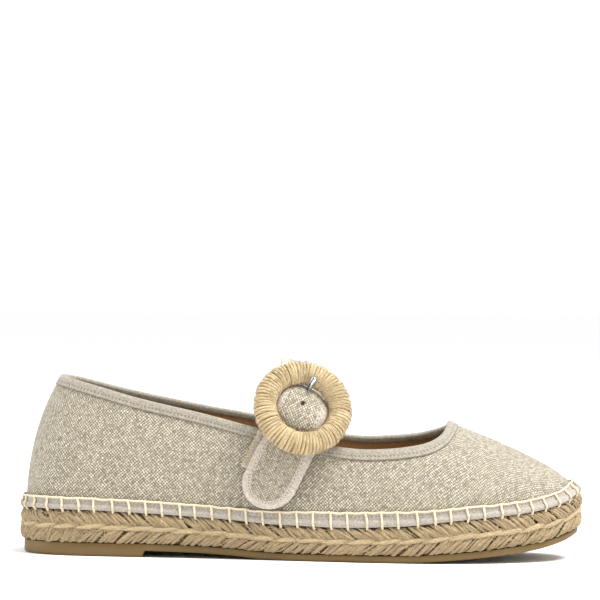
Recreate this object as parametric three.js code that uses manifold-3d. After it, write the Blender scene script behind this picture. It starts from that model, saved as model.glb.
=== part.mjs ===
// A right espadrille with an instep strap and a ring buckle.
// Lengths in millimetres. X runs to the toe, Y to the inner side of the foot, Z up.
import * as THREE from 'three';
import Module from 'manifold-3d';

const wasm = await Module();
wasm.setup();

// Sole: plan, rubber sheet with its heel, and the braided jute wall
const SOLE_LENGTH = 259;
const HALF_BALL_WIDTH = 45.5;
const SHEET_THICKNESS = 3.6;
const SHEET_BEVEL = 1.2;
const HEEL_HEIGHT = 2.9;
const HEEL_LENGTH = 58.5;
const HEEL_SLANT = 1;
const TOE_SPRING = 12;
const JUTE_WALL = 14;
const JUTE_STRAND_PITCH = 9;
const JUTE_STRAND_DEPTH = 1.1;
const JUTE_STRAND_LEAN = 0.55;
const INSOLE_THICKNESS = 2.4;

// Upper: the last's ridge, the linen wall and the tapes on it
const INSTEP_HEIGHT = 86.5;
const INSTEP_AT = 131;
const UPPER_INSET = 1.1;
const UPPER_WALL = 1.6;
const HEEL_TOP = 83;
const BINDING_WIDTH = 5.2;
const BINDING_OVER = 0.5;
const TAPE_HEIGHT = 6.4;
const TAPE_THICKNESS = 0.8;
const TAPE_ROLL = 1.7;

// Strap, its anchor tab and the ring buckle
const STRAP_WIDTH = 25;
const STRAP_THICKNESS = 1.5;
const STRAP_LEAN = 0.38;
const STRAP_LEAN_ABOVE = -0.08;
const STRAP_LEAN_BELOW = 0.405;
const STRAP_BEND_DROP = 20;
const STRAP_WIDTH_IN_RING = 21;
const STRAP_TAIL = 45;
const STRAP_DOME = 10.2;
const TAB_LENGTH = 31;
const TAB_THICKNESS = 1.2;
const TAB_SHOWS = 3.2;
const RING_RADIUS = 17.3;
const RING_TUBE = 5.3;
const RING_HEIGHT = 63.7;
const RING_SHIFT = 0.4;
const RING_TWIST = 12;
const RING_LIFT = 2.9;
const BAR_RADIUS = 1.2;
const PRONG_RADIUS = 1.3;
const PRONG_REACH = 10;

// Clearance between neighbours
const GAP = 0.3;
const PRONG_HOLE_GAP = 0.45;

// How finely the curved pieces are divided
const STATIONS = 34;
const RIB_STEPS = 8;
const COLUMNS_PER_STRAND = 4;

// Plan of the sole, as shares of its length and of the half ball width
const PLAN = [
  { at: 0, inner: 0, outer: 0 },
  { at: 0.015, inner: 0.33, outer: -0.33 },
  { at: 0.055, inner: 0.54, outer: -0.54 },
  { at: 0.12, inner: 0.65, outer: -0.66 },
  { at: 0.21, inner: 0.665, outer: -0.705 },
  { at: 0.32, inner: 0.605, outer: -0.75 },
  { at: 0.44, inner: 0.585, outer: -0.83 },
  { at: 0.55, inner: 0.67, outer: -0.925 },
  { at: 0.65, inner: 0.81, outer: -0.99 },
  { at: 0.73, inner: 0.895, outer: -1 },
  { at: 0.81, inner: 0.885, outer: -0.925 },
  { at: 0.885, inner: 0.79, outer: -0.765 },
  { at: 0.945, inner: 0.645, outer: -0.545 },
  { at: 0.985, inner: 0.43, outer: -0.27 },
  { at: 1, inner: 0.08, outer: 0.08 },
];

// Underside of the rubber sheet: heel and arch as shares of the heel's height, toe as shares of the spring
const UNDERSIDE = [
  { at: 0, heel: 1, toe: 0 },
  { at: 0.228, heel: 1, toe: 0 },
  { at: 0.32, heel: 0.86, toe: 0 },
  { at: 0.387, heel: 0.55, toe: 0 },
  { at: 0.445, heel: 0.12, toe: 0 },
  { at: 0.48, heel: 0, toe: 0 },
  { at: 0.677, heel: 0, toe: 0 },
  { at: 0.769, heel: 0, toe: 0.11 },
  { at: 0.8365, heel: 0, toe: 0.24 },
  { at: 0.882, heel: 0, toe: 0.35 },
  { at: 0.928, heel: 0, toe: 0.5 },
  { at: 0.974, heel: 0, toe: 0.76 },
  { at: 1, heel: 0, toe: 1 },
];

// Height of the jute wall, as shares of its usual height
const WALL = [
  { at: 0, height: 1.03 },
  { at: 0.12, height: 1.02 },
  { at: 0.23, height: 0.95 },
  { at: 0.34, height: 0.89 },
  { at: 0.48, height: 0.87 },
  { at: 0.58, height: 0.83 },
  { at: 0.68, height: 0.9 },
  { at: 0.81, height: 1 },
  { at: 0.97, height: 0.98 },
  { at: 1, height: 1.08 },
];

// Ridge of the last: share of the length, share of the instep's height, sideways share of the half ball width
const RIDGE = [
  { at: 0.185, height: 1.18, side: 0 },
  { at: 0.36, height: 1.13, side: 0.02 },
  { at: 0.5115, height: 0.985, side: 0.05 },
  { at: 0.64, height: 0.86, side: 0.08 },
  { at: 0.728, height: 0.765, side: 0.1 },
  { at: 0.8, height: 0.684, side: 0.11 },
];

// Topline: share of the length, share of the heel's top, and how much higher the inner side runs
const TOPLINE = [
  { at: -0.05, height: 1.06, inner: 0 },
  { at: 0.065, height: 1, inner: 0 },
  { at: 0.13, height: 0.95, inner: 0 },
  { at: 0.215, height: 0.877, inner: 0.014 },
  { at: 0.33, height: 0.798, inner: 0.028 },
  { at: 0.415, height: 0.734, inner: 0.05 },
  { at: 0.5, height: 0.674, inner: 0.05 },
  { at: 0.572, height: 0.632, inner: 0.044 },
  { at: 0.62, height: 0.62, inner: 0.044 },
  { at: 0.665, height: 0.625, inner: 0.046 },
  { at: 0.707, height: 0.639, inner: 0.046 },
  { at: 0.731, height: 0.655, inner: 0.05 },
  { at: 0.752, height: 0.69, inner: 0.04 },
  { at: 0.761, height: 0.735, inner: 0.01 },
  { at: 0.766, height: 0.82, inner: 0 },
];

const TOPLINE_HALF_SPAN = 30;
const CUTTER_HALF_WIDTH = 70;
const CUTTER_HEIGHT = 150;

// A smooth curve through the rows of a table that never overshoots them
function smooth(rows, column, at, key = (row) => row.at) {
  const last = rows.length - 1;
  let i = 0;
  while (i < last - 1 && at > key(rows[i + 1])) i += 1;
  const slope = (k) => {
    const rise = rows[k + 1][column] - rows[k][column];
    return rise / (key(rows[k + 1]) - key(rows[k]));
  };
  const tangent = (k) => {
    if (k === 0) return slope(0);
    if (k === last) return slope(last - 1);
    const before = slope(k - 1);
    const after = slope(k);
    return before * after <= 0 ? 0 : (2 * before * after) / (before + after);
  };
  const span = key(rows[i + 1]) - key(rows[i]);
  const t = THREE.MathUtils.clamp((at - key(rows[i])) / span, 0, 1);
  const leaving = tangent(i) * span * (t ** 3 - 2 * t ** 2 + t);
  const near = rows[i][column] * (2 * t ** 3 - 3 * t ** 2 + 1) + leaving;
  const far = rows[i + 1][column] * (3 * t ** 2 - 2 * t ** 3) + tangent(i + 1) * span * (t ** 3 - t ** 2);
  return near + far;
}

// The turn of a point of the plan: 0 at the heel's back, +pi or -pi at the toe, positive on the inner side
const turnAt = (share) => Math.acos(1 - 2 * THREE.MathUtils.clamp(share, 0, 1));
const shareAt = (turn) => (1 - Math.cos(turn)) / 2;

function planPoint(turn) {
  const wrapped = turn > Math.PI ? turn - 2 * Math.PI : turn;
  const column = wrapped >= 0 ? 'inner' : 'outer';
  const across = smooth(PLAN, column, Math.abs(wrapped), (row) => turnAt(row.at));
  return new THREE.Vector2(SOLE_LENGTH * shareAt(wrapped), HALF_BALL_WIDTH * across);
}

const SMALL_TURN = 0.004;

function planNormal(turn) {
  const ahead = planPoint(turn + SMALL_TURN);
  const behind = planPoint(turn - SMALL_TURN);
  const run = ahead.sub(behind).normalize();
  return new THREE.Vector2(-run.y, run.x);
}

// Heights along the sole, from the share of its length
const undersideAt = (share) =>
  HEEL_HEIGHT * smooth(UNDERSIDE, 'heel', share) + TOE_SPRING * smooth(UNDERSIDE, 'toe', share);
const seamAt = (share) => undersideAt(share) + SHEET_THICKNESS;
const rimAt = (share) => seamAt(share) + JUTE_WALL * smooth(WALL, 'height', share);

function edgePoint(turn, outward, height) {
  const place = planPoint(turn).addScaledVector(planNormal(turn), outward);
  return new THREE.Vector3(place.x, place.y, height);
}

// Turns around the plan, the same stations on both sides
function mirroredTurns(shares) {
  const inner = shares.map(turnAt);
  const outer = inner.slice(1, -1).reverse().map((turn) => -turn);
  return [...inner, ...outer];
}

const EVEN_SHARES = Array.from({ length: STATIONS + 1 }, (_, i) => shareAt((Math.PI * i) / STATIONS));

// Turns around the plan, evenly spaced along each side's own edge
function evenTurns(countPerSide) {
  const side = (sign) => {
    const fine = 600;
    const lengths = [0];
    for (let i = 1; i <= fine; i += 1) {
      const before = planPoint((sign * Math.PI * (i - 1)) / fine);
      const step = planPoint((sign * Math.PI * i) / fine).distanceTo(before);
      lengths.push(lengths[i - 1] + step);
    }
    return Array.from({ length: countPerSide + 1 }, (_, k) => {
      const wanted = (lengths[fine] * k) / countPerSide;
      const i = Math.max(1, lengths.findIndex((length) => length >= wanted - 1e-9));
      const part = (wanted - lengths[i - 1]) / (lengths[i] - lengths[i - 1]);
      return (sign * Math.PI * (i - 1 + part)) / fine;
    });
  };
  const outer = side(-1).slice(1, -1).reverse();
  return [...side(1), ...outer];
}

// A closed mesh from points and triangles, with shared corners merged and faces turned outward
function closedGeometry(corners, triangles, grid = 1e-4) {
  const indexOf = new Map();
  const kept = [];
  const merged = corners.map((corner) => {
    const name = corner.toArray().map((value) => Math.round(value / grid)).join();
    if (!indexOf.has(name)) {
      indexOf.set(name, kept.length / 3);
      kept.push(corner.x, corner.y, corner.z);
    }
    return indexOf.get(name);
  });
  const faces = triangles
    .map((face) => face.map((corner) => merged[corner]))
    .filter(([a, b, c]) => a !== b && b !== c && c !== a);
  const at = (index) => new THREE.Vector3().fromArray(kept, 3 * index);
  const volume = faces.reduce((sum, [a, b, c]) => sum + at(a).dot(at(b).cross(at(c))), 0);
  const outward = volume < 0 ? faces.map(([a, b, c]) => [a, c, b]) : faces;
  const geometry = new THREE.BufferGeometry();
  geometry.setAttribute('position', new THREE.Float32BufferAttribute(kept, 3));
  geometry.setIndex(outward.flat());
  return geometry;
}

// Rings of points joined side by side; the first and last are closed across, rung by rung
function stackedRings(rings) {
  const count = rings[0].length;
  const triangles = [];
  const quad = (a, b, c, d) => triangles.push([a, b, c], [a, c, d]);
  for (let r = 0; r < rings.length - 1; r += 1) {
    for (let i = 0; i < count; i += 1) {
      const next = (i + 1) % count;
      quad(r * count + i, r * count + next, (r + 1) * count + next, (r + 1) * count + i);
    }
  }
  const rungs = (ring, flip) => {
    for (let i = 0; i < count / 2; i += 1) {
      const left = [ring * count + i, ring * count + i + 1];
      const right = [ring * count + ((count - i) % count), ring * count + count - i - 1];
      if (flip) quad(left[0], right[0], right[1], left[1]);
      else quad(left[0], left[1], right[1], right[0]);
    }
  };
  rungs(0, true);
  rungs(rings.length - 1, false);
  return closedGeometry(rings.flat(), triangles);
}

// Sections swept round a closed path, each a closed loop of points
function sweptLoop(sections) {
  const count = sections[0].length;
  const triangles = [];
  sections.forEach((_, s) => {
    const after = ((s + 1) % sections.length) * count;
    for (let i = 0; i < count; i += 1) {
      const next = (i + 1) % count;
      triangles.push([s * count + i, s * count + next, after + next]);
      triangles.push([s * count + i, after + next, after + i]);
    }
  });
  return closedGeometry(sections.flat(), triangles);
}

// Sections swept along an open path: each is a row of points and the same row back on the other face
function sweptBar(sections) {
  const count = sections[0].length;
  const triangles = [];
  for (let s = 0; s < sections.length - 1; s += 1) {
    for (let i = 0; i < count; i += 1) {
      const next = (i + 1) % count;
      const here = s * count;
      const after = here + count;
      triangles.push([here + i, here + next, after + next], [here + i, after + next, after + i]);
    }
  }
  const end = (sections.length - 1) * count;
  for (let i = 0; i < count / 2 - 1; i += 1) {
    const [a, b, c, d] = [i, i + 1, count - 2 - i, count - 1 - i];
    triangles.push([a, c, b], [a, d, c]);
    triangles.push([end + a, end + b, end + c], [end + a, end + c, end + d]);
  }
  return closedGeometry(sections.flat(), triangles);
}

// Corners of a cut shape that lie this near each other are one corner
const CUT_GRID = 2e-3;

function toSolid(geometry) {
  const vertProperties = new Float32Array(geometry.getAttribute('position').array);
  const triVerts = new Uint32Array(geometry.getIndex().array);
  return new wasm.Manifold(new wasm.Mesh({ numProp: 3, vertProperties, triVerts }));
}

function toGeometry(solid) {
  const { vertProperties, triVerts } = solid.getMesh();
  const corner = (_, i) => new THREE.Vector3().fromArray(vertProperties, 3 * i);
  const corners = Array.from({ length: vertProperties.length / 3 }, corner);
  const triangleAt = (i) => [...triVerts.slice(3 * i, 3 * i + 3)];
  const triangles = Array.from({ length: triVerts.length / 3 }, (_, i) => triangleAt(i));
  return closedGeometry(corners, triangles, CUT_GRID);
}

// The last: ribs rise from the foot of the upper to the ridge
const RIDGE_START = RIDGE[0].at;
const RIDGE_END = RIDGE[RIDGE.length - 1].at;
const TOE_WEDGE_POWER = 0.66;

function ridgePoint(share) {
  const at = THREE.MathUtils.clamp(share, RIDGE_START, RIDGE_END);
  const height = INSTEP_HEIGHT * smooth(RIDGE, 'height', at);
  return new THREE.Vector3(SOLE_LENGTH * at, HALF_BALL_WIDTH * smooth(RIDGE, 'side', at), height);
}

// A point of the last's surface, from its turn around the plan and its share of the run to the ridge
function lastPoint(turn, run) {
  const share = shareAt(turn);
  const foot = edgePoint(turn, -UPPER_INSET, rimAt(share) + GAP);
  const top = ridgePoint(share);
  const forward = share > RIDGE_END ? top.x - foot.x : 0;
  const wedge = forward ** 2 / ((top.x - foot.x) ** 2 + (top.y - foot.y) ** 2);
  const round = Math.sqrt(1 - (1 - run) ** 2);
  const rise = (1 - wedge) * round + wedge * run ** TOE_WEDGE_POWER;
  return new THREE.Vector3(
    THREE.MathUtils.lerp(foot.x, top.x, run),
    THREE.MathUtils.lerp(foot.y, top.y, run),
    THREE.MathUtils.lerp(foot.z, top.z, rise),
  );
}

const SMALL_RUN = 0.002;

function lastNormal(turn, run) {
  const low = Math.min(Math.max(run, SMALL_RUN), 1 - 2 * SMALL_RUN);
  const around = lastPoint(turn + SMALL_TURN, low).sub(lastPoint(turn - SMALL_TURN, low));
  const up = lastPoint(turn, low + SMALL_RUN).sub(lastPoint(turn, low - SMALL_RUN));
  return up.cross(around).normalize();
}

// The share of the run where a rib has risen by a height
function runAtHeight(turn, height) {
  const foot = lastPoint(turn, 0).z;
  let low = 0;
  let high = 1;
  for (let i = 0; i < 30; i += 1) {
    const middle = (low + high) / 2;
    if (lastPoint(turn, middle).z - foot < height) low = middle;
    else high = middle;
  }
  return (low + high) / 2;
}

// The last as a solid, grown outward by an offset and lengthened below by a skirt
function lastSolid(offset, skirt) {
  const turns = mirroredTurns(EVEN_SHARES);
  const ring = (run) => turns.map((turn) => {
    if (run === 1) return lastPoint(turn, 1).add(new THREE.Vector3(0, 0, offset));
    return lastPoint(turn, run).addScaledVector(lastNormal(turn, run), offset);
  });
  const runs = Array.from({ length: RIB_STEPS + 1 }, (_, i) => 1 - Math.cos((Math.PI * i) / RIB_STEPS / 2));
  runs[RIB_STEPS] = 1;
  const footRing = ring(0).map((point, i) => point.setZ(lastPoint(turns[i], 0).z));
  const rings = [footRing, ...runs.slice(1).map(ring)];
  if (skirt > 0) rings.unshift(footRing.map((point) => point.clone().setZ(point.z - skirt)));
  return toSolid(stackedRings(rings));
}

// Everything above the topline, or above a line that lies lower by a width, as a cutting solid
function aboveTopline(lower) {
  const fine = 36;
  const first = TOPLINE[0].at;
  const last = TOPLINE[TOPLINE.length - 1].at;
  const sideLine = (sign) => {
    const points = Array.from({ length: fine + 1 }, (_, i) => {
      const at = first + (last - first) * (1 - (1 - i / fine) ** 2);
      const middle = HEEL_TOP * (smooth(TOPLINE, 'height', at) + smooth(TOPLINE, 'inner', at) / 2);
      const tilt = (HEEL_TOP * smooth(TOPLINE, 'inner', at)) / 2;
      const widen = CUTTER_HALF_WIDTH / TOPLINE_HALF_SPAN;
      return new THREE.Vector2(SOLE_LENGTH * at, middle + sign * tilt * widen);
    });
    return points.map((point, i) => {
      const run = points[Math.min(i + 1, fine)].clone().sub(points[Math.max(i - 1, 0)]).normalize();
      return point.clone().add(new THREE.Vector2(run.y, -run.x).multiplyScalar(lower));
    });
  };
  const outline = (sign) => {
    const line = sideLine(sign);
    const front = new THREE.Vector2(line[fine].x + 1, CUTTER_HEIGHT);
    const back = new THREE.Vector2(line[0].x, CUTTER_HEIGHT);
    const corners = [...line, front, back];
    return corners.map((point) => new THREE.Vector3(point.x, sign * CUTTER_HALF_WIDTH, point.y));
  };
  const near = outline(-1);
  const far = outline(1);
  const count = near.length;
  const flat = near.map((point) => new THREE.Vector2(point.x, point.z));
  const cap = THREE.ShapeUtils.triangulateShape(flat, []);
  const triangles = [];
  cap.forEach(([a, b, c]) => triangles.push([a, b, c], [count + a, count + c, count + b]));
  for (let i = 0; i < count; i += 1) {
    const next = (i + 1) % count;
    triangles.push([i, count + next, next], [i, count + i, count + next]);
  }
  return toSolid(closedGeometry([...near, ...far], triangles));
}

// Rubber sheet with its heel: bevelled below, flat on the floor at the heel and under the ball
function outsole() {
  const breast = HEEL_LENGTH / SOLE_LENGTH;
  const breastTop = (HEEL_LENGTH + HEEL_SLANT) / SOLE_LENGTH;
  const apart = 3 / SOLE_LENGTH;
  const clear = EVEN_SHARES.filter((share) => Math.abs(share - breast) > apart);
  const shares = [...clear, breast, breastTop].sort((a, b) => a - b);
  const turns = mirroredTurns(shares);
  const bottom = (share) => (share <= breast + 1e-6 ? 0 : undersideAt(share));
  const ring = (outward, lift) => turns.map((turn) => {
    const share = shareAt(turn);
    return edgePoint(turn, outward, lift(share));
  });
  return stackedRings([
    ring(-SHEET_BEVEL, bottom),
    ring(-SHEET_BEVEL / 3, (share) => bottom(share) + SHEET_BEVEL),
    ring(-SHEET_BEVEL / 4, (share) => seamAt(share) - GAP),
  ]);
}

// Jute wall: slanted strands above and below a running plait, raised on the core
function juteSole() {
  const strands = Math.round((SOLE_LENGTH + HALF_BALL_WIDTH) / JUTE_STRAND_PITCH);
  const perSide = strands * COLUMNS_PER_STRAND;
  const turns = evenTurns(perSide);
  const levels = [
    { at: 0, bulge: -0.9, lean: 0, relief: 0 },
    { at: 0.14, bulge: -0.2, lean: -1, relief: 0.9 },
    { at: 0.44, bulge: 0, lean: -1, relief: 1 },
    { at: 0.58, bulge: -0.1, lean: 1, relief: 1 },
    { at: 0.86, bulge: -0.5, lean: 1, relief: 0.9 },
    { at: 1, bulge: -1.3, lean: 0, relief: 0 },
  ];
  const rings = levels.map((level) => turns.map((turn, i) => {
    const share = shareAt(turn);
    const height = THREE.MathUtils.lerp(seamAt(share), rimAt(share), level.at);
    const slant = level.lean * JUTE_STRAND_LEAN * Math.abs(level.at - 0.52) * 2;
    const phase = (turn < 0 ? -1 : 1) * (i / COLUMNS_PER_STRAND) + slant;
    const dip = JUTE_STRAND_DEPTH * level.relief * (0.5 - 0.5 * Math.cos(2 * Math.PI * phase));
    return edgePoint(turn, level.bulge - dip, height);
  }));
  return stackedRings(rings);
}

// Insole: a thin sock on the jute, cut to the inside of the upper's wall
function insole() {
  const turns = mirroredTurns(EVEN_SHARES);
  const edge = INSOLE_THICKNESS / 4;
  const ring = (lift, inward) => turns.map((turn) => {
    const run = runAtHeight(turn, lift + UPPER_WALL);
    const place = lastPoint(turn, run).addScaledVector(lastNormal(turn, run), -UPPER_WALL - GAP - inward);
    return place.setZ(rimAt(shareAt(turn)) + GAP + lift);
  });
  return stackedRings([
    ring(0, 0),
    ring(INSOLE_THICKNESS - edge, 0),
    ring(INSOLE_THICKNESS, edge),
  ]);
}

// Linen shell: one wall, open at the collar and underneath
function upper() {
  const wall = lastSolid(0, 0).subtract(lastSolid(-UPPER_WALL, 4));
  return toGeometry(wall.subtract(aboveTopline(BINDING_WIDTH + GAP)));
}

// Tape folded over the topline, cut from a thicker shell of the same form
function collarBinding() {
  const wall = lastSolid(BINDING_OVER, 0).subtract(lastSolid(-UPPER_WALL - BINDING_OVER, 4));
  return toGeometry(wall.intersect(aboveTopline(BINDING_WIDTH)).subtract(aboveTopline(0)));
}

// Tape round the foot of the upper, with a soft roll along its lower half
function footTape() {
  const profile = [
    { out: GAP, up: 0 },
    { out: GAP, up: TAPE_HEIGHT * 0.25 },
    { out: GAP, up: TAPE_HEIGHT },
    { out: GAP + TAPE_THICKNESS, up: TAPE_HEIGHT },
    { out: GAP + TAPE_THICKNESS, up: TAPE_HEIGHT * 0.6 },
    { out: GAP + TAPE_ROLL, up: TAPE_HEIGHT * 0.42 },
    { out: GAP + TAPE_ROLL, up: TAPE_HEIGHT * 0.12 },
    { out: GAP + TAPE_THICKNESS, up: 0 },
  ];
  const sections = mirroredTurns(EVEN_SHARES).map((turn) => {
    const foot = lastPoint(turn, 0);
    return profile.map(({ out, up }) => {
      const run = runAtHeight(turn, up);
      const normal = lastNormal(turn, run);
      const point = lastPoint(turn, run).addScaledVector(normal, out);
      return up === 0 ? point.setZ(foot.z) : point;
    });
  });
  return sweptLoop(sections);
}

// Line of the strap over the last, in a plane that leans back as it goes down
const STRAP_ACROSS = new THREE.Vector3(1, 0, -STRAP_LEAN).normalize();

function strapLine() {
  const runs = [0, 0.01, 0.04, 0.1, 0.2, 0.34, 0.5, 0.7, 0.88];
  const pointAt = (sign, run) => {
    let at = INSTEP_AT;
    let point = null;
    for (let i = 0; i < 8; i += 1) {
      point = lastPoint(sign * turnAt(at / SOLE_LENGTH), run);
      const drop = INSTEP_HEIGHT - point.z;
      const below = Math.max(0, drop - STRAP_BEND_DROP);
      at = INSTEP_AT - STRAP_LEAN_ABOVE * drop - (STRAP_LEAN_BELOW - STRAP_LEAN_ABOVE) * below;
    }
    return point;
  };
  const inner = runs.map((run) => pointAt(1, run));
  const outer = runs.map((run) => pointAt(-1, run)).reverse();
  return new THREE.CatmullRomCurve3([...inner, pointAt(1, 1), ...outer], false, 'centripetal');
}

const STRAP_LINE = strapLine();
const STRAP_LINE_LENGTH = STRAP_LINE.getLength();

// Length along the strap's line where its outer side passes a height
function lengthAtHeight(height, sign) {
  let low = STRAP_LINE_LENGTH / 2;
  let high = sign < 0 ? STRAP_LINE_LENGTH : 0;
  for (let i = 0; i < 40; i += 1) {
    const middle = (low + high) / 2;
    if (STRAP_LINE.getPointAt(middle / STRAP_LINE_LENGTH).z > height) low = middle;
    else high = middle;
  }
  return (low + high) / 2;
}

const RING_AT = lengthAtHeight(RING_HEIGHT, -1);
const SIDE_STARTS = 8;

// A point of the last's side, from its place along the foot and its height
function sidePoint(x, z, sign) {
  let share = x / SOLE_LENGTH;
  let found = null;
  for (let i = 0; i < 3; i += 1) {
    const turn = sign * turnAt(share);
    const run = runAtHeight(turn, z - lastPoint(turn, 0).z);
    found = { point: lastPoint(turn, run), normal: lastNormal(turn, run) };
    share += (x - found.point.x) / SOLE_LENGTH;
  }
  return found;
}

// A point by the strap: along it from the ring's centre, across it and out from the last.
// Over the instep it is straight across, and down the sides it lies along the last.
function strapPoint(along, across, out) {
  const share = (RING_AT + along) / STRAP_LINE_LENGTH;
  const base = STRAP_LINE.getPointAt(share);
  const normal = STRAP_LINE.getTangentAt(share).cross(STRAP_ACROSS).normalize();
  const straight = base.clone().addScaledVector(STRAP_ACROSS, across).addScaledVector(normal, out);
  const onSide = THREE.MathUtils.smoothstep(INSTEP_HEIGHT - base.z, SIDE_STARTS, SIDE_STARTS * 3);
  if (onSide === 0) return straight;
  const wanted = base.clone().addScaledVector(STRAP_ACROSS, across);
  const side = sidePoint(wanted.x, wanted.z, base.y < 0 ? -1 : 1);
  return straight.lerp(side.point.addScaledVector(side.normal, out), onSide);
}

// How far the strap's outer face stands off the last
const TAB_OUT = BINDING_OVER + GAP;
const TAIL_OUT = TAB_OUT + TAB_THICKNESS + GAP + STRAP_THICKNESS;
const DOME_RADIUS = RING_RADIUS - RING_TUBE + 0.8;
const TILT_REACH = 1.2;
const UNDER_RING = TAIL_OUT + 0.2;
const RING_OUT = UNDER_RING + RING_TUBE + RING_LIFT;

function strapOut(along, across) {
  const reach = Math.hypot(along, across) / DOME_RADIUS;
  const tilt = -across * Math.tan(THREE.MathUtils.degToRad(RING_TWIST));
  const tilted = tilt * Math.max(0, 1 - (reach / TILT_REACH) ** 4);
  const dome = Math.max(0, STRAP_DOME * Math.max(0, 1 - reach ** 4) + tilted);
  const nearRing = THREE.MathUtils.smoothstep(along, -RING_RADIUS * 2.4, -RING_RADIUS * 1.1);
  return THREE.MathUtils.lerp(STRAP_THICKNESS + GAP, UNDER_RING, nearRing) + dome;
}

const INNER_END_DEPTH = 11;

// Strap: sewn inside the inner quarter, over the foot, through the ring, with a rounded free end
function strap() {
  const innerTop = lengthAtHeight(HEEL_TOP * 0.72, 1) - RING_AT;
  const first = innerTop - INNER_END_DEPTH;
  const half = STRAP_WIDTH / 2;
  const halfInRing = STRAP_WIDTH_IN_RING / 2;
  const halfWidth = (along) => {
    const narrow = THREE.MathUtils.smoothstep(Math.abs(along), DOME_RADIUS, RING_RADIUS + RING_TUBE);
    const straight = THREE.MathUtils.lerp(halfInRing, half, narrow);
    const tip = along - (STRAP_TAIL - half);
    return tip > 0 ? straight * Math.sqrt(Math.max(0, 1 - (tip / half) ** 2)) : straight;
  };
  const inside = -(UPPER_WALL + BINDING_OVER + GAP);
  const outAt = (along, across) => {
    const sunk = THREE.MathUtils.smoothstep(along, innerTop + 3, innerTop + 30);
    return THREE.MathUtils.lerp(inside, strapOut(along, across), sunk);
  };
  const lengths = [];
  const loose = 16;
  for (let i = 0; i <= loose; i += 1) lengths.push(THREE.MathUtils.lerp(first, -DOME_RADIUS, i / loose));
  const inRing = 14;
  for (let i = 1; i <= inRing; i += 1) {
    lengths.push(THREE.MathUtils.lerp(-DOME_RADIUS, DOME_RADIUS, i / inRing));
  }
  const tail = 6;
  for (let i = 1; i <= tail; i += 1) {
    lengths.push(THREE.MathUtils.lerp(DOME_RADIUS, STRAP_TAIL - half, i / tail));
  }
  const rounding = 7;
  for (let i = 1; i <= rounding; i += 1) {
    lengths.push(STRAP_TAIL - half + half * Math.sin((i / rounding) * 0.5 * Math.PI * 0.94));
  }
  const across = 6;
  const sections = lengths.map((along) => {
    const width = halfWidth(along);
    const row = (lift) => Array.from({ length: across + 1 }, (_, i) => {
      const side = width * (-1 + (2 * i) / across);
      return strapPoint(along, side, outAt(along, side) - lift);
    });
    return [...row(0), ...row(STRAP_THICKNESS).reverse()];
  });
  const whole = toSolid(sweptBar(sections));
  return toGeometry(whole.subtract(toSolid(prongTube(PRONG_RADIUS + PRONG_HOLE_GAP))));
}

// Anchor tab: sewn on the outer quarter, it comes up under the strap's free end to the bar
function strapTab() {
  const start = BAR_RADIUS + GAP;
  const steps = 10;
  const back = -(STRAP_WIDTH / 2 + TAB_SHOWS);
  const front = STRAP_WIDTH / 2 - GAP;
  const sections = Array.from({ length: steps + 1 }, (_, i) => {
    const along = THREE.MathUtils.lerp(start, TAB_LENGTH, i / steps);
    const row = (out) => [back, 0, front].map((side) => strapPoint(along, side, out));
    return [...row(TAB_OUT + TAB_THICKNESS), ...row(TAB_OUT).reverse()];
  });
  return sweptBar(sections);
}

// Ring frame: a torus whose plane lies along the strap, its front edge turned in to the shoe
function ringFrame() {
  const centre = strapPoint(0, RING_SHIFT, RING_OUT);
  const out = centre.clone().sub(strapPoint(0, RING_SHIFT, 0)).normalize();
  const up = out.clone().cross(STRAP_ACROSS).normalize();
  out.applyAxisAngle(up, THREE.MathUtils.degToRad(RING_TWIST));
  return { centre, out, up, across: up.clone().cross(out) };
}

function buckleRing() {
  const { centre, out, up, across } = ringFrame();
  const around = 32;
  const sides = 10;
  const sections = Array.from({ length: around }, (_, i) => {
    const angle = (2 * Math.PI * i) / around;
    const radial = across.clone().multiplyScalar(Math.cos(angle)).addScaledVector(up, Math.sin(angle));
    return Array.from({ length: sides }, (_, k) => {
      const turn = (2 * Math.PI * k) / sides;
      const reach = RING_RADIUS + RING_TUBE * Math.cos(turn);
      return centre.clone().addScaledVector(radial, reach).addScaledVector(out, RING_TUBE * Math.sin(turn));
    });
  });
  return sweptLoop(sections);
}

// A round rod along points, closed at both ends
function rod(points, radius, sides) {
  const line = new THREE.CatmullRomCurve3(points, false, 'centripetal');
  const shape = new THREE.Shape();
  for (let i = 0; i < sides; i += 1) {
    const angle = (2 * Math.PI * i) / sides;
    const corner = [radius * Math.cos(angle), radius * Math.sin(angle)];
    if (i === 0) shape.moveTo(...corner);
    else shape.lineTo(...corner);
  }
  shape.closePath();
  const steps = points.length > 2 ? points.length * 3 : 1;
  const tube = new THREE.ExtrudeGeometry(shape, { steps, bevelEnabled: false, extrudePath: line });
  const position = tube.getAttribute('position');
  const cornerAt = (i) => new THREE.Vector3().fromBufferAttribute(position, i);
  const corners = Array.from({ length: position.count }, (_, i) => cornerAt(i));
  const triangles = Array.from({ length: position.count / 3 }, (_, i) => [3 * i, 3 * i + 1, 3 * i + 2]);
  return closedGeometry(corners, triangles);
}

// Bar across the back of the ring, under the strap
const BAR_DROP = 6;

function buckleBar() {
  const { centre, out, across } = ringFrame();
  const reach = RING_RADIUS - Math.sqrt(RING_TUBE ** 2 - (BAR_DROP - BAR_RADIUS) ** 2) - GAP;
  const end = (sign) => centre.clone().addScaledVector(out, -BAR_DROP).addScaledVector(across, sign * reach);
  return rod([end(-1), end(1)], BAR_RADIUS, 10);
}

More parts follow.
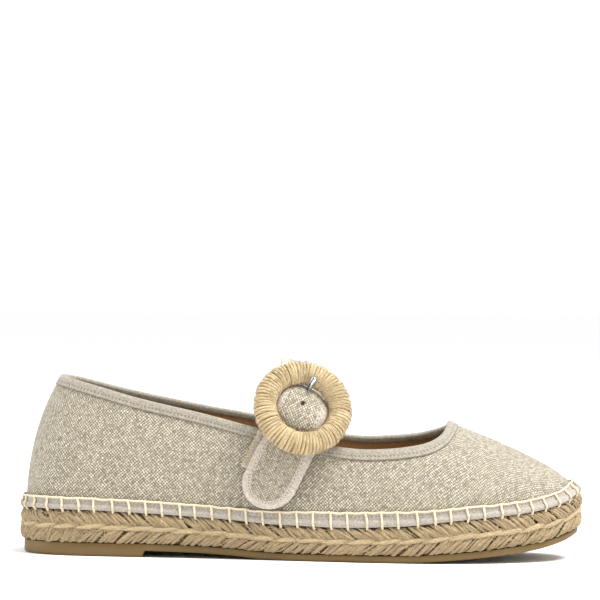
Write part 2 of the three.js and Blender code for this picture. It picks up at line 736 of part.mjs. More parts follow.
// Prong: from the bar, up through the strap and over the ring's upper frame
function prongTube(radius) {
  const { centre, out, up } = ringFrame();
  const place = (rise, lift) => centre.clone().addScaledVector(up, rise).addScaledVector(out, lift);
  const over = RING_TUBE + PRONG_RADIUS + GAP;
  const wrap = (degrees) => {
    const angle = THREE.MathUtils.degToRad(degrees);
    return place(RING_RADIUS - over * Math.cos(angle), over * Math.sin(angle));
  };
  const start = BAR_RADIUS + GAP;
  return rod([
    place(start, -BAR_DROP),
    place(PRONG_REACH * 0.68, -BAR_DROP * 0.8),
    place(PRONG_REACH, -BAR_DROP * 0.2),
    wrap(24),
    wrap(48),
    wrap(76),
  ], radius, 8);
}

// Colours of the pieces
const LINEN = { color: 0xd8cfbd, roughness: 0.95, metalness: 0 };
const TAPE = { color: 0xc0b5ae, roughness: 0.9, metalness: 0 };
const BINDING = { color: 0xc9bfae, roughness: 0.9, metalness: 0 };
const JUTE = { color: 0xc8b48c, roughness: 0.95, metalness: 0 };
const RUBBER = { color: 0x9d8452, roughness: 0.75, metalness: 0 };
const SOCK = { color: 0xb89a6c, roughness: 0.9, metalness: 0 };
const WRAP = { color: 0xe3c48d, roughness: 0.85, metalness: 0 };
const STEEL = { color: 0xb8bcc4, roughness: 0.25, metalness: 1 };

const PIECES = [
  { name: 'outsole', shape: outsole, finish: RUBBER },
  { name: 'jute_sole', shape: juteSole, finish: JUTE },
  { name: 'insole', shape: insole, finish: SOCK },
  { name: 'upper', shape: upper, finish: LINEN },
  { name: 'collar_binding', shape: collarBinding, finish: BINDING },
  { name: 'foot_tape', shape: footTape, finish: TAPE },
  { name: 'strap', shape: strap, finish: LINEN },
  { name: 'strap_tab', shape: strapTab, finish: LINEN },
  { name: 'buckle_ring', shape: buckleRing, finish: WRAP },
  { name: 'buckle_bar', shape: buckleBar, finish: STEEL },
  { name: 'buckle_prong', shape: () => prongTube(PRONG_RADIUS), finish: STEEL },
];

// The pieces together, with the origin on the floor under the middle of the whole
const espadrille = new THREE.Group();
PIECES.forEach(({ name, shape, finish }) => {
  const mesh = new THREE.Mesh(shape(), new THREE.MeshStandardMaterial(finish));
  mesh.name = name;
  espadrille.add(mesh);
});
const bounds = new THREE.Box3().setFromObject(espadrille);
const middle = bounds.getCenter(new THREE.Vector3());
espadrille.position.set(-middle.x, -middle.y, -bounds.min.z);

export default espadrille;
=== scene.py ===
import math

import bmesh
import bpy
import numpy as np
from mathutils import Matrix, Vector


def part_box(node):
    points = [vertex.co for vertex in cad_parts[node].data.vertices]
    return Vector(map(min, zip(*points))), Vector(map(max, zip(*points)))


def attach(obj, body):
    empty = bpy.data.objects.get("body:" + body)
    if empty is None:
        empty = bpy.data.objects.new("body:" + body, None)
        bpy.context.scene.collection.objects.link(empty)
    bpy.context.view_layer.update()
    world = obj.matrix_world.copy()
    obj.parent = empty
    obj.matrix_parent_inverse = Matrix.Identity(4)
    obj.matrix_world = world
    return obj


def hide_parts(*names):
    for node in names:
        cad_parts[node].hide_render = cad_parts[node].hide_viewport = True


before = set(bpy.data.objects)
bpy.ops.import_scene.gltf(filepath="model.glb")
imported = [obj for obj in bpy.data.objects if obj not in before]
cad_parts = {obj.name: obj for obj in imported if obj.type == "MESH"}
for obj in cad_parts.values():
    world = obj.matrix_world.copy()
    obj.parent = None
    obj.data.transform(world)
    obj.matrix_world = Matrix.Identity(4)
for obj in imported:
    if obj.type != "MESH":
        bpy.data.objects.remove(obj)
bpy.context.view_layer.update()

# Camera: level with the middle of the picture, a long way off on the shoe's outer side.
# A little of the toe turns to it, and the sole's floor line drops slightly to the toe.
VIEW_DISTANCE = 1.5
VIEW_HEIGHT = 0.1187
VIEW_MIDDLE_X = -0.0009
VIEW_TURN = math.radians(3.0)
VIEW_ROLL = math.radians(0.65)
METRES_A_PIXEL = 0.000465
PICTURE_PIXELS = 600
SENSOR_WIDTH = 36

lens = bpy.data.cameras.new("camera")
lens.sensor_width = SENSOR_WIDTH
lens.lens = SENSOR_WIDTH * VIEW_DISTANCE / (METRES_A_PIXEL * PICTURE_PIXELS)
camera = bpy.data.objects.new("camera", lens)
camera.location = (
    VIEW_MIDDLE_X + VIEW_DISTANCE * math.sin(VIEW_TURN),
    -VIEW_DISTANCE * math.cos(VIEW_TURN),
    VIEW_HEIGHT,
)
camera.rotation_euler = (math.radians(90), -VIEW_ROLL, VIEW_TURN)
bpy.context.collection.objects.link(camera)
bpy.context.scene.camera = camera

# Floor: a broad white sweep of matt card, as in a photographer's studio.
# Only the soft shadow under the sole shows on it.
bpy.ops.mesh.primitive_plane_add(size=60, location=(0, 0, 0))
floor = bpy.context.object
floor.name = "floor"
floor_paint = bpy.data.materials.new("white sweep")
floor_paint.use_nodes = True
floor_shader = floor_paint.node_tree.nodes["Principled BSDF"]
floor_shader.inputs["Base Color"].default_value = (0.97, 0.97, 0.975, 1)
floor_shader.inputs["Roughness"].default_value = 0.9
floor.data.materials.append(floor_paint)

# Light: a white surround, a large soft lamp high over the toe on the camera's side,
# and a weaker one beyond the heel.
world = bpy.data.worlds.new("studio")
world.use_nodes = True
world.node_tree.nodes["Background"].inputs["Color"].default_value = (1, 1, 1, 1)
world.node_tree.nodes["Background"].inputs["Strength"].default_value = 1.02
bpy.context.scene.world = world


def soft_lamp(name, place, size, power):
    """A square lamp that faces the shoe, in metres and watts."""
    lamp = bpy.data.lights.new(name, "AREA")
    lamp.size = size
    lamp.energy = power
    holder = bpy.data.objects.new(name, lamp)
    holder.location = place
    holder.rotation_euler = (-Vector(place)).to_track_quat("-Z", "Y").to_euler()
    bpy.context.collection.objects.link(holder)


soft_lamp("key lamp", (0.6, -0.3, 1.45), 0.8, 42)
soft_lamp("heel lamp", (-1.4, -0.1, 0.7), 0.8, 8)
bpy.context.scene.view_settings.view_transform = "Standard"

# Outsole: a sheet of tan gum rubber moulded with a low heel and sprung at the toe.
# It is bevelled round its lower edge and cemented under the jute. Sizes are millimetres from the heel.
SOLE_LENGTH = 259
HALF_BALL_WIDTH = 45.5
SHEET_THICKNESS = 3.6
SHEET_BEVEL = 1.2
HEEL_HEIGHT = 2.9
HEEL_LENGTH = 58.5
HEEL_SLANT = 1
TOE_SPRING = 12
JUTE_WALL = 14
GAP = 0.3
TURN_STEP = 0.004
SHEET_COLUMNS = 560
# The sheet's edge from the floor up: height, and how far in as a share of the bevel
SHEET_EDGE = ((0, 1.3), (0.15, 0.9), (0.6, 0.5), (1.3, 0.33))
SHEET_TOP = ((-0.3, 0.25), (0, 0.5))
RUBBER = dict(dark="544018", light="634b1d", specks="745c28")
# The plan by share of the length: each side's edge as a share of the half width, inner side positive
PLAN = {
    "at": (0, 0.015, 0.055, 0.12, 0.21, 0.32, 0.44, 0.55, 0.65, 0.73, 0.81, 0.885, 0.945, 0.985, 1),
    "inner": (0, 0.33, 0.54, 0.65, 0.665, 0.605, 0.585, 0.67, 0.81, 0.895, 0.885, 0.79, 0.645, 0.43, 0.08),
    "outer": (0, -0.33, -0.54, -0.66, -0.705, -0.75, -0.83, -0.925, -0.99, -1, -0.925, -0.765, -0.545, -0.27, 0.08),
}
# The underside by share of the length: how much of the heel's height and of the toe's spring it has
UNDERSIDE = {
    "at": (0, 0.228, 0.32, 0.387, 0.445, 0.48, 0.677, 0.769, 0.8365, 0.882, 0.928, 0.974, 1),
    "heel": (1, 1, 0.86, 0.55, 0.12, 0, 0, 0, 0, 0, 0, 0, 0),
    "toe": (0, 0, 0, 0, 0, 0, 0, 0.11, 0.24, 0.35, 0.5, 0.76, 1),
}
# The jute wall by share of the length: its height as a share of JUTE_WALL
WALL = {
    "at": (0, 0.12, 0.23, 0.34, 0.48, 0.58, 0.68, 0.81, 0.97, 1),
    "height": (1.03, 1.02, 0.95, 0.89, 0.87, 0.83, 0.9, 1, 0.98, 1.08),
}


def smooth_curve(keys, values):
    """A smooth curve through a table that never overshoots its rows."""
    keys = np.array(keys, float)
    values = np.array(values, float)
    slopes = np.diff(values) / np.diff(keys)
    tangents = np.concatenate([slopes[:1], np.zeros(len(keys) - 2), slopes[-1:]])
    before, after = slopes[:-1], slopes[1:]
    same = before * after > 0
    tangents[1:-1][same] = 2 * before[same] * after[same] / (before[same] + after[same])

    def curve(at):
        at = np.clip(at, keys[0], keys[-1])
        row = np.clip(np.searchsorted(keys, at, side="right") - 1, 0, len(keys) - 2)
        span = keys[row + 1] - keys[row]
        t = (at - keys[row]) / span
        near = values[row] * (2 * t**3 - 3 * t**2 + 1) + tangents[row] * span * (t**3 - 2 * t**2 + t)
        far = values[row + 1] * (3 * t**2 - 2 * t**3) + tangents[row + 1] * span * (t**3 - t**2)
        return near + far

    return curve


def turn_at(share):
    """The turn round the sole, 0 at the heel and pi at the toe, at a share of the length."""
    return np.arccos(1 - 2 * np.clip(share, 0, 1))


def share_at(turn):
    """The share of the length at a turn."""
    return (1 - np.cos(turn)) / 2


inner_edge = smooth_curve(turn_at(np.array(PLAN["at"])), PLAN["inner"])
outer_edge = smooth_curve(turn_at(np.array(PLAN["at"])), PLAN["outer"])
heel_rise = smooth_curve(UNDERSIDE["at"], UNDERSIDE["heel"])
toe_rise = smooth_curve(UNDERSIDE["at"], UNDERSIDE["toe"])
wall_height = smooth_curve(WALL["at"], WALL["height"])


def plan_point(turn):
    """The sole's edge: turn 0 at the heel's back, pi at the toe, positive on the inner side."""
    turn = np.where(turn > math.pi, turn - 2 * math.pi, turn)
    turn = np.where(turn < -math.pi, turn + 2 * math.pi, turn)
    across = np.where(turn >= 0, inner_edge(np.abs(turn)), outer_edge(np.abs(turn)))
    return np.stack([SOLE_LENGTH * share_at(turn), HALF_BALL_WIDTH * across], -1)


def plan_normal(turn):
    """The way out from the sole's edge, in plan."""
    run = plan_point(turn + TURN_STEP) - plan_point(turn - TURN_STEP)
    run /= np.linalg.norm(run, axis=-1, keepdims=True)
    return np.stack([-run[..., 1], run[..., 0]], -1)


def underside(share):
    """The height of the sheet's underside over the floor."""
    return HEEL_HEIGHT * heel_rise(share) + TOE_SPRING * toe_rise(share)


def seam(share):
    """The height where rubber and jute meet."""
    return underside(share) + SHEET_THICKNESS


def rim(share):
    """The height of the jute's upper edge."""
    return seam(share) + JUTE_WALL * wall_height(share)


def edge_point(turn, outward, height):
    """A point by the sole's edge, a distance out from it and at a height."""
    place = plan_point(turn) + plan_normal(turn) * np.expand_dims(outward * np.ones_like(turn), -1)
    return np.concatenate([place, np.expand_dims(height * np.ones_like(turn), -1)], -1)


def length_along(points):
    """The way from the first point of a line to each of its points."""
    return np.concatenate([[0], np.cumsum(np.linalg.norm(np.diff(points, axis=0), axis=-1))])


def around(count):
    """Turns evenly spaced along the whole edge, from the toe round the outer side and the heel."""
    fine = np.linspace(-math.pi, math.pi, 4001)
    length = length_along(plan_point(fine))
    wanted = np.linspace(0, length[-1], count, endpoint=False)
    return np.interp(wanted, length, fine), wanted, length[-1]


# From the heel's back and the outer ball, where the sheet lies a quarter of its bevel inside the plan,
# to the frame's own middle
outsole_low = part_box("outsole")[0]
WHOLE_SHIFT = np.array([
    outsole_low[0] * 1000 - SHEET_BEVEL / 4,
    outsole_low[1] * 1000 + HALF_BALL_WIDTH - SHEET_BEVEL / 4,
    0,
])


def add_uv(mesh, name, uvs):
    """A flat pattern for a mesh, with one place for each point."""
    layer = mesh.uv_layers.new(name=name)
    corner = np.zeros(len(mesh.loops), dtype=np.int32)
    mesh.loops.foreach_get("vertex_index", corner)
    layer.data.foreach_set("uv", np.asarray(uvs, float)[corner].ravel())


def add_piece(name, points, faces, uvs, material, slot, stands_for=()):
    """A smooth mesh piece in metres from points in millimetres, which stands for solids of the CAD."""
    mesh = bpy.data.meshes.new(name)
    places = (np.asarray(points) + WHOLE_SHIFT) / 1000
    mesh.from_pydata(places.tolist(), [], [list(map(int, face)) for face in faces])
    if uvs is not None:
        add_uv(mesh, "UVMap", uvs)
    mesh.polygons.foreach_set("use_smooth", [True] * len(mesh.polygons))
    mesh.update()
    piece = bpy.data.objects.new(name, mesh)
    bpy.context.collection.objects.link(piece)
    mesh.materials.append(material)
    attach(piece, "root")
    if stands_for:
        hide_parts(*stands_for)
    return piece


def grid_faces(rows, columns, wrap_rows=False, wrap_columns=False):
    """Quads over a grid of points kept row after row."""
    r = np.arange(rows if wrap_rows else rows - 1)
    c = np.arange(columns if wrap_columns else columns - 1)
    r, c = np.meshgrid(r, c, indexing="ij")
    r2, c2 = (r + 1) % rows, (c + 1) % columns
    quads = np.stack([r * columns + c, r * columns + c2, r2 * columns + c2, r2 * columns + c], -1)
    return quads.reshape(-1, 4)


def cap_faces(first, count):
    """Rungs across a ring of points that starts at the toe and runs round the heel."""
    i = np.arange(count // 2)
    left, left2 = first + i, first + i + 1
    right, right2 = first + (count - i) % count, first + count - i - 1
    return np.stack([left, left2, right2, right], -1)


def new_material(name):
    """A material, its node tree and its shader."""
    material = bpy.data.materials.new(name)
    material.use_nodes = True
    return material, material.node_tree, material.node_tree.nodes["Principled BSDF"]


def add_node(tree, kind, settings=None, **inputs):
    """A shader node; an input is a value or a socket to link from, and i0, i1 give it by number."""
    node = tree.nodes.new(kind)
    for key, value in (settings or {}).items():
        setattr(node, key, value)
    for key, value in inputs.items():
        by_number = key[0] == "i" and key[1:].isdigit()
        socket = node.inputs[int(key[1:]) if by_number else key.replace("_", " ")]
        if isinstance(value, bpy.types.NodeSocket):
            tree.links.new(value, socket)
        else:
            socket.default_value = value
    return node


def maths(tree, operation, *values):
    """One step of arithmetic on sockets and numbers."""
    return add_node(tree, "ShaderNodeMath", {"operation": operation},
                    **{f"i{k}": value for k, value in enumerate(values)}).outputs[0]


def hex_colour(text):
    """A colour as shown on a screen, as the linear colour that a shader takes."""
    values = [int(text[i:i + 2], 16) / 255 for i in (0, 2, 4)]
    linear = [v / 12.92 if v <= 0.04045 else ((v + 0.055) / 1.055) ** 2.4 for v in values]
    return (*linear, 1)


def mix_colours(tree, share, first, second):
    """Two colours mixed by a share; each is a socket, or a colour as shown on a screen."""
    first, second = (hex_colour(one) if isinstance(one, str) else one for one in (first, second))
    return add_node(tree, "ShaderNodeMix", {"data_type": "RGBA"}, i0=share, i6=first, i7=second).outputs[2]


def colour_steps(tree, share, *steps):
    """Colours as shown on a screen, each at its place on a ramp."""
    ramp = add_node(tree, "ShaderNodeValToRGB", Fac=share)
    bar = ramp.color_ramp
    while len(bar.elements) < len(steps):
        bar.elements.new(0.5)
    for element, (place, colour) in zip(bar.elements, steps):
        element.position = place
        element.color = hex_colour(colour)
    return ramp.outputs[0]


def raise_surface(tree, shader, height, strength, distance):
    """Low relief on a shader's surface."""
    bump = add_node(tree, "ShaderNodeBump", Height=height, Strength=strength, Distance=distance)
    tree.links.new(bump.outputs[0], shader.inputs["Normal"])


def gum_rubber(name, dark, light, specks):
    """Cloudy rubber with fine ground specks."""
    material, tree, shader = new_material(name)
    where = add_node(tree, "ShaderNodeTexCoord").outputs["Object"]
    cloud = add_node(tree, "ShaderNodeTexNoise", Vector=where, Scale=28.0, Detail=4.0).outputs[0]
    speck = add_node(tree, "ShaderNodeTexNoise", Vector=where, Scale=1300.0, Detail=2.0).outputs[0]
    tone = colour_steps(tree, cloud, (0.3, dark), (0.7, light))
    tone = mix_colours(tree, maths(tree, "MULTIPLY", speck, 0.35), tone, specks)
    tree.links.new(tone, shader.inputs["Base Color"])
    tree.links.new(maths(tree, "MULTIPLY_ADD", speck, 0.25, 0.48), shader.inputs["Roughness"])
    raise_surface(tree, shader, maths(tree, "ADD", cloud, maths(tree, "MULTIPLY", speck, 0.4)), 0.25, 0.0004)
    return material


def add_outsole():
    turns, lengths, _ = around(SHEET_COLUMNS)
    shares = share_at(turns)
    breast = HEEL_LENGTH / SOLE_LENGTH
    step = np.clip((shares - breast) * SOLE_LENGTH / HEEL_SLANT, 0, 1)
    floor_line = underside(shares) * step
    top = seam(shares) - GAP
    rings = [edge_point(turns, -SHEET_BEVEL * inward, floor_line + height) for height, inward in SHEET_EDGE]
    rings += [edge_point(turns, -SHEET_BEVEL * inward, top + height) for height, inward in SHEET_TOP]
    points = np.concatenate(rings)
    faces = np.concatenate([
        grid_faces(len(rings), SHEET_COLUMNS, wrap_columns=True),
        cap_faces(0, SHEET_COLUMNS)[:, ::-1],
        cap_faces((len(rings) - 1) * SHEET_COLUMNS, SHEET_COLUMNS),
    ])
    uvs = np.stack([np.tile(lengths, len(rings)), points[:, 2]], -1)
    add_piece("outsole_rubber", points, faces, uvs, gum_rubber("gum rubber", **RUBBER), "rubber",
              stands_for=("outsole",))


add_outsole()

# Upper: two linen quarters and a vamp in one wall, pulled over the last and stitched to the jute.
# The cloth is an even, slightly slubby plain weave laid on the bias, with a brown lining.
INSTEP_HEIGHT = 86.5
UPPER_INSET = 1.1
UPPER_WALL = 1.6
HEEL_TOP = 83
BINDING_WIDTH = 5.2
TOE_WEDGE_POWER = 0.66
SIDE_SEAM_SHARE = 0.455
VAMP_PATTERN_SHIFT = (300, 300)
HALF_COLUMNS = 260
UPPER_ROWS = 40
UPPER_UNDER_BINDING = 2.6
# Columns that start nearer the heel than this lean as the ribs do; the others run straight in plan
QUARTER_REACH = 158
FOOT_MARKS = 12
TOE_BEND = 30
BENT_COLUMNS = 1 / 8
RUN_STEP = 0.002
# The gap colour is painted shade for the low places between the threads
LINEN = dict(dark="7f7663", middle="a9a08c", light="c4bdab", gap_painted_shade="3d3629")
LINING = dict(colour="b08a5e", deep="805a34")
# The ridge over the instep and toe by share of the length: height, and how far it lies to the inner side
RIDGE = {
    "at": (0.185, 0.36, 0.5115, 0.64, 0.728, 0.8),
    "height": (1.18, 1.13, 0.985, 0.86, 0.765, 0.684),
    "side": (0, 0.02, 0.05, 0.08, 0.1, 0.11),
}
# The topline by share of the length: its height, and how much higher the inner side is
TOPLINE = {
    "at": (-0.05, 0.065, 0.13, 0.215, 0.33, 0.415, 0.5, 0.572, 0.62, 0.665, 0.707, 0.731, 0.752, 0.761, 0.766),
    "height": (1.06, 1, 0.95, 0.877, 0.798, 0.734, 0.674, 0.632, 0.62, 0.625, 0.639, 0.655, 0.69, 0.735, 0.82),
    "inner": (0, 0, 0, 0.014, 0.028, 0.05, 0.05, 0.044, 0.044, 0.046, 0.046, 0.05, 0.04, 0.01, 0),
}
TOPLINE_HALF_SPAN = 30
# The topline is looked for up to the throat's turn, and its points are put in order round a middle
LOOP_MIDDLE = 100
LOOP_SQUASH = 2.5
THROAT_TURN = math.pi * 0.75
SEARCH_COLUMNS = 700
SEARCH_ROWS = 500
LOWEST_RUN = 0.004

ridge_height = smooth_curve(RIDGE["at"], RIDGE["height"])
ridge_side = smooth_curve(RIDGE["at"], RIDGE["side"])
topline_height = smooth_curve(TOPLINE["at"], TOPLINE["height"])
topline_inner = smooth_curve(TOPLINE["at"], TOPLINE["inner"])


def last_point(turn, run):
    """The last's surface: ribs rise from the upper's foot, run 0, to the ridge, run 1."""
    turn, run = np.broadcast_arrays(np.asarray(turn, float), np.asarray(run, float))
    share = share_at(turn)
    foot = edge_point(turn, -UPPER_INSET, rim(share) + GAP)
    at = np.clip(share, RIDGE["at"][0], RIDGE["at"][-1])
    top = np.stack([SOLE_LENGTH * at, HALF_BALL_WIDTH * ridge_side(at), INSTEP_HEIGHT * ridge_height(at)], -1)
    forward = np.where(share > RIDGE["at"][-1], top[..., 0] - foot[..., 0], 0)
    wedge = forward**2 / ((top[..., 0] - foot[..., 0]) ** 2 + (top[..., 1] - foot[..., 1]) ** 2)
    rise = (1 - wedge) * np.sqrt(np.maximum(0, 1 - (1 - run) ** 2)) + wedge * run**TOE_WEDGE_POWER
    mix = np.stack([run, run, rise], -1)
    return foot + (top - foot) * mix


def last_normal(turn, run):
    """The way out of the last's surface."""
    run = np.clip(run, RUN_STEP, 1 - 2 * RUN_STEP)
    along = last_point(turn + TURN_STEP, run) - last_point(turn - TURN_STEP, run)
    up = last_point(turn, run + RUN_STEP) - last_point(turn, run - RUN_STEP)
    normal = np.cross(up, along)
    return normal / np.linalg.norm(normal, axis=-1, keepdims=True)


def run_at_height(turn, height):
    """The share of the run where a rib has risen by a height."""
    low, high = np.zeros_like(turn), np.ones_like(turn)
    foot = last_point(turn, 0)[..., 2]
    for _ in range(30):
        middle = (low + high) / 2
        below = last_point(turn, middle)[..., 2] - foot < height
        low, high = np.where(below, middle, low), np.where(below, high, middle)
    return (low + high) / 2


def topline_gap(points, lower):
    """How far points lie above the line that runs a width below the topline."""
    at = np.linspace(TOPLINE["at"][0], TOPLINE["at"][-1], 800)
    side = np.clip(points[..., 1] / TOPLINE_HALF_SPAN, -2, 2) / 2
    middle = HEEL_TOP * (topline_height(at) + topline_inner(at) / 2)
    tilt = HEEL_TOP * topline_inner(at)
    run = np.stack([np.gradient(SOLE_LENGTH * at), np.gradient(middle)], -1)
    run /= np.linalg.norm(run, axis=-1, keepdims=True)
    line_x = SOLE_LENGTH * at + lower * run[:, 1]
    line_z = middle - lower * run[:, 0]
    order = np.argsort(line_x)
    line = np.interp(points[..., 0], line_x[order], line_z[order])
    lean = np.interp(points[..., 0], line_x[order], tilt[order])
    beyond = points[..., 0] > line_x.max()
    return np.where(beyond, -1.0, points[..., 2] - line - side * lean)


def topline_half(lower, side, count):
    """Turns and runs on the last along the line a width below the topline, heel's back to throat."""
    turns, runs = np.meshgrid(np.linspace(0, THROAT_TURN, SEARCH_COLUMNS),
                              np.linspace(LOWEST_RUN, 1, SEARCH_ROWS), indexing="ij")
    gaps = topline_gap(last_point(side * turns, runs), lower)
    found = []
    for a, b in (((slice(0, -1), slice(None)), (slice(1, None), slice(None))),
                 ((slice(None), slice(0, -1)), (slice(None), slice(1, None)))):
        cross = (gaps[a] > 0) != (gaps[b] > 0)
        share = -gaps[a] / np.where(gaps[b] == gaps[a], 1, gaps[b] - gaps[a])
        share = np.clip(share, 0, 1)[cross]
        turn = turns[a][cross] + (turns[b][cross] - turns[a][cross]) * share
        run = runs[a][cross] + (runs[b][cross] - runs[a][cross]) * share
        found.append(np.stack([turn, run], -1))
    found = np.concatenate(found)
    places = last_point(side * found[:, 0], found[:, 1])
    off_ridge = np.abs(places[:, 1] - HALF_BALL_WIDTH * ridge_side(places[:, 0] / SOLE_LENGTH))
    order = np.argsort(-np.arctan2(off_ridge * LOOP_SQUASH, places[:, 0] - LOOP_MIDDLE))
    found, places = found[order], places[order]
    length = length_along(places)
    wanted = np.linspace(0, length[-1], count + 1)
    return side * np.interp(wanted, length, found[:, 0]), np.interp(wanted, length, found[:, 1]), length[-1]


def woven_group():
    """A plain weave: where each thread lies, its own shade, its height and the gaps between threads."""
    group = bpy.data.node_groups.new("Woven threads", "ShaderNodeTree")
    for name, kind in (("Cloth place in threads", "NodeSocketVector"), ("Slub", "NodeSocketFloat")):
        group.interface.new_socket(name, in_out="INPUT", socket_type=kind)
    for name in ("Height", "Thread shade", "Gap"):
        group.interface.new_socket(name, in_out="OUTPUT", socket_type="NodeSocketFloat")
    inside = group.nodes.new("NodeGroupInput")
    outside = group.nodes.new("NodeGroupOutput")

    def vector_maths(operation, **inputs):
        return add_node(group, "ShaderNodeVectorMath", {"operation": operation}, **inputs).outputs[0]

    def hump(axis):
        """1 on a thread's middle line and 0 at its edges."""
        off_middle = maths(group, "SUBTRACT", maths(group, "FRACT", axis), 0.5)
        return maths(group, "COSINE", maths(group, "MULTIPLY", off_middle, math.pi))

    def own_shade(x, y, z):
        """A shade that changes slowly along a thread and jumps from one thread to the next."""
        key = add_node(group, "ShaderNodeCombineXYZ", X=x, Y=y, Z=z)
        return add_node(group, "ShaderNodeTexNoise", Vector=key.outputs[0], Scale=1.0, Detail=2.0).outputs[0]

    # Slubs: the threads wander a little
    place = inside.outputs["Cloth place in threads"]
    wander = add_node(group, "ShaderNodeTexNoise", Vector=place, Scale=0.35, Detail=4.0, Roughness=0.7)
    shift = vector_maths("SUBTRACT", i0=wander.outputs["Color"], i1=(0.5, 0.5, 0.5))
    shift = vector_maths("SCALE", i0=shift, Scale=inside.outputs["Slub"])
    axes = add_node(group, "ShaderNodeSeparateXYZ", Vector=vector_maths("ADD", i0=place, i1=shift))
    x, y = axes.outputs["X"], axes.outputs["Y"]
    i, j = maths(group, "FLOOR", x), maths(group, "FLOOR", y)

    # Over and under: at every other crossing the warp lies on top
    hump_x, hump_y = hump(x), hump(y)
    over = maths(group, "FLOORED_MODULO", maths(group, "ADD", i, j), 2.0)
    sign = maths(group, "MULTIPLY_ADD", over, 2.0, -1.0)
    up_x = maths(group, "MULTIPLY_ADD", maths(group, "MULTIPLY", sign, hump_y), 0.5, 0.5)
    up_y = maths(group, "MULTIPLY_ADD", maths(group, "MULTIPLY", sign, hump_x), -0.5, 0.5)
    high_x, high_y = maths(group, "MULTIPLY", hump_x, up_x), maths(group, "MULTIPLY", hump_y, up_y)
    height = maths(group, "MAXIMUM", high_x, high_y)
    which = maths(group, "GREATER_THAN", high_x, high_y)

    # Shades: each thread has its own, and each crossing differs a little
    shade_x = own_shade(maths(group, "MULTIPLY", i, 7.31), maths(group, "MULTIPLY", y, 0.45), 3.0)
    shade_y = own_shade(maths(group, "MULTIPLY", x, 0.45), maths(group, "MULTIPLY", j, 5.17), 31.0)
    shade = add_node(group, "ShaderNodeMix", i0=which, i2=shade_y, i3=shade_x).outputs[0]
    crossing = add_node(group, "ShaderNodeCombineXYZ", X=i, Y=j, Z=which).outputs[0]
    own = add_node(group, "ShaderNodeTexWhiteNoise", {"noise_dimensions": "3D"}, Vector=crossing).outputs[0]
    shade = maths(group, "ADD", shade, maths(group, "MULTIPLY_ADD", own, 0.24, -0.12))
    # Gap is 1 in the low places between threads, where the cloths paint shade
    depth = maths(group, "MULTIPLY", maths(group, "SUBTRACT", 0.68, height), 2.4)
    gap = maths(group, "MAXIMUM", maths(group, "SMOOTH_MIN", depth, 1.0, 0.1), 0.0)
    group.links.new(height, outside.inputs["Height"])
    group.links.new(shade, outside.inputs["Thread shade"])
    group.links.new(gap, outside.inputs["Gap"])
    return group


WOVEN = woven_group()


def flat_pattern(tree, layer="UVMap"):
    """The place on a piece's flat pattern, in millimetres."""
    return add_node(tree, "ShaderNodeUVMap", {"uv_map": layer}).outputs[0]


def woven_threads(tree, place, slub, dark, middle, light, low=0.3, high=0.7):
    """The weave's group at a cloth's place, and its threads' tone."""
    threads = add_node(tree, "ShaderNodeGroup", {"node_tree": WOVEN}, Cloth_place_in_threads=place, Slub=slub)
    tone = colour_steps(tree, threads.outputs["Thread shade"], (low, dark), (0.5, middle), (high, light))
    return threads, tone


def cloth_place(tree, layer, pitch, turn):
    """The cloth's own place in threads, a pitch apart in millimetres and turned by degrees."""
    mapping = add_node(tree, "ShaderNodeMapping", Vector=flat_pattern(tree, layer),
                       Rotation=(0, 0, math.radians(turn)), Scale=(1 / pitch, 1 / pitch, 1))
    return mapping.outputs[0]


def matt_cloth(shader, roughness=0.92):
    """Matt thread with a faint bloom at grazing angles."""
    shader.inputs["Roughness"].default_value = roughness
    shader.inputs["Sheen Weight"].default_value = 0.15


def woven_cloth(name, pitch, turn, dark, middle, light, gap_painted_shade):
    """Slubby plain-woven cloth, with broad faint patches."""
    material, tree, shader = new_material(name)
    place = cloth_place(tree, "UVMap", pitch, turn)
    threads, tone = woven_threads(tree, place, 1.5, dark, middle, light, high=0.68)
    # Painted shade: the low gaps between the threads are darkened
    tone = mix_colours(tree, maths(tree, "MULTIPLY", threads.outputs["Gap"], 0.95), tone, gap_painted_shade)
    patch = add_node(tree, "ShaderNodeTexNoise", Vector=place, Scale=0.05, Detail=3.0).outputs[0]
    tone = mix_colours(tree, maths(tree, "MULTIPLY", patch, 0.25), tone, middle)
    tree.links.new(tone, shader.inputs["Base Color"])
    matt_cloth(shader)
    raise_surface(tree, shader, threads.outputs["Height"], 0.7, 0.0004)
    return material


def plain_lining(name, colour, deep):
    """Fine brown cotton, too close to show its threads."""
    material, tree, shader = new_material(name)
    where = add_node(tree, "ShaderNodeTexCoord").outputs["Object"]
    grain = add_node(tree, "ShaderNodeTexNoise", Vector=where, Scale=900.0, Detail=3.0).outputs[0]
    tree.links.new(mix_colours(tree, grain, colour, deep), shader.inputs["Base Color"])
    shader.inputs["Roughness"].default_value = 0.95
    raise_surface(tree, shader, grain, 0.4, 0.0003)
    return material


def rib_through(place, side):
    """The rib, and the share of its run, that stands at a place of the plan."""
    low, high = np.full(place.shape[:-1], 0.3 * math.pi), np.full(place.shape[:-1], math.pi)
    for _ in range(36):
        turn = (low + high) / 2
        top = last_point(side * turn, 1.0)[..., :2]
        arm, leg = last_point(side * turn, 0.0)[..., :2] - top, place - top
        ahead = side * (arm[..., 1] * leg[..., 0] - arm[..., 0] * leg[..., 1]) > 0
        low, high = np.where(ahead, turn, low), np.where(ahead, high, turn)
    run = 1 - (arm * leg).sum(-1) / (arm**2).sum(-1)
    return side * turn, np.clip(run, 0, 1)


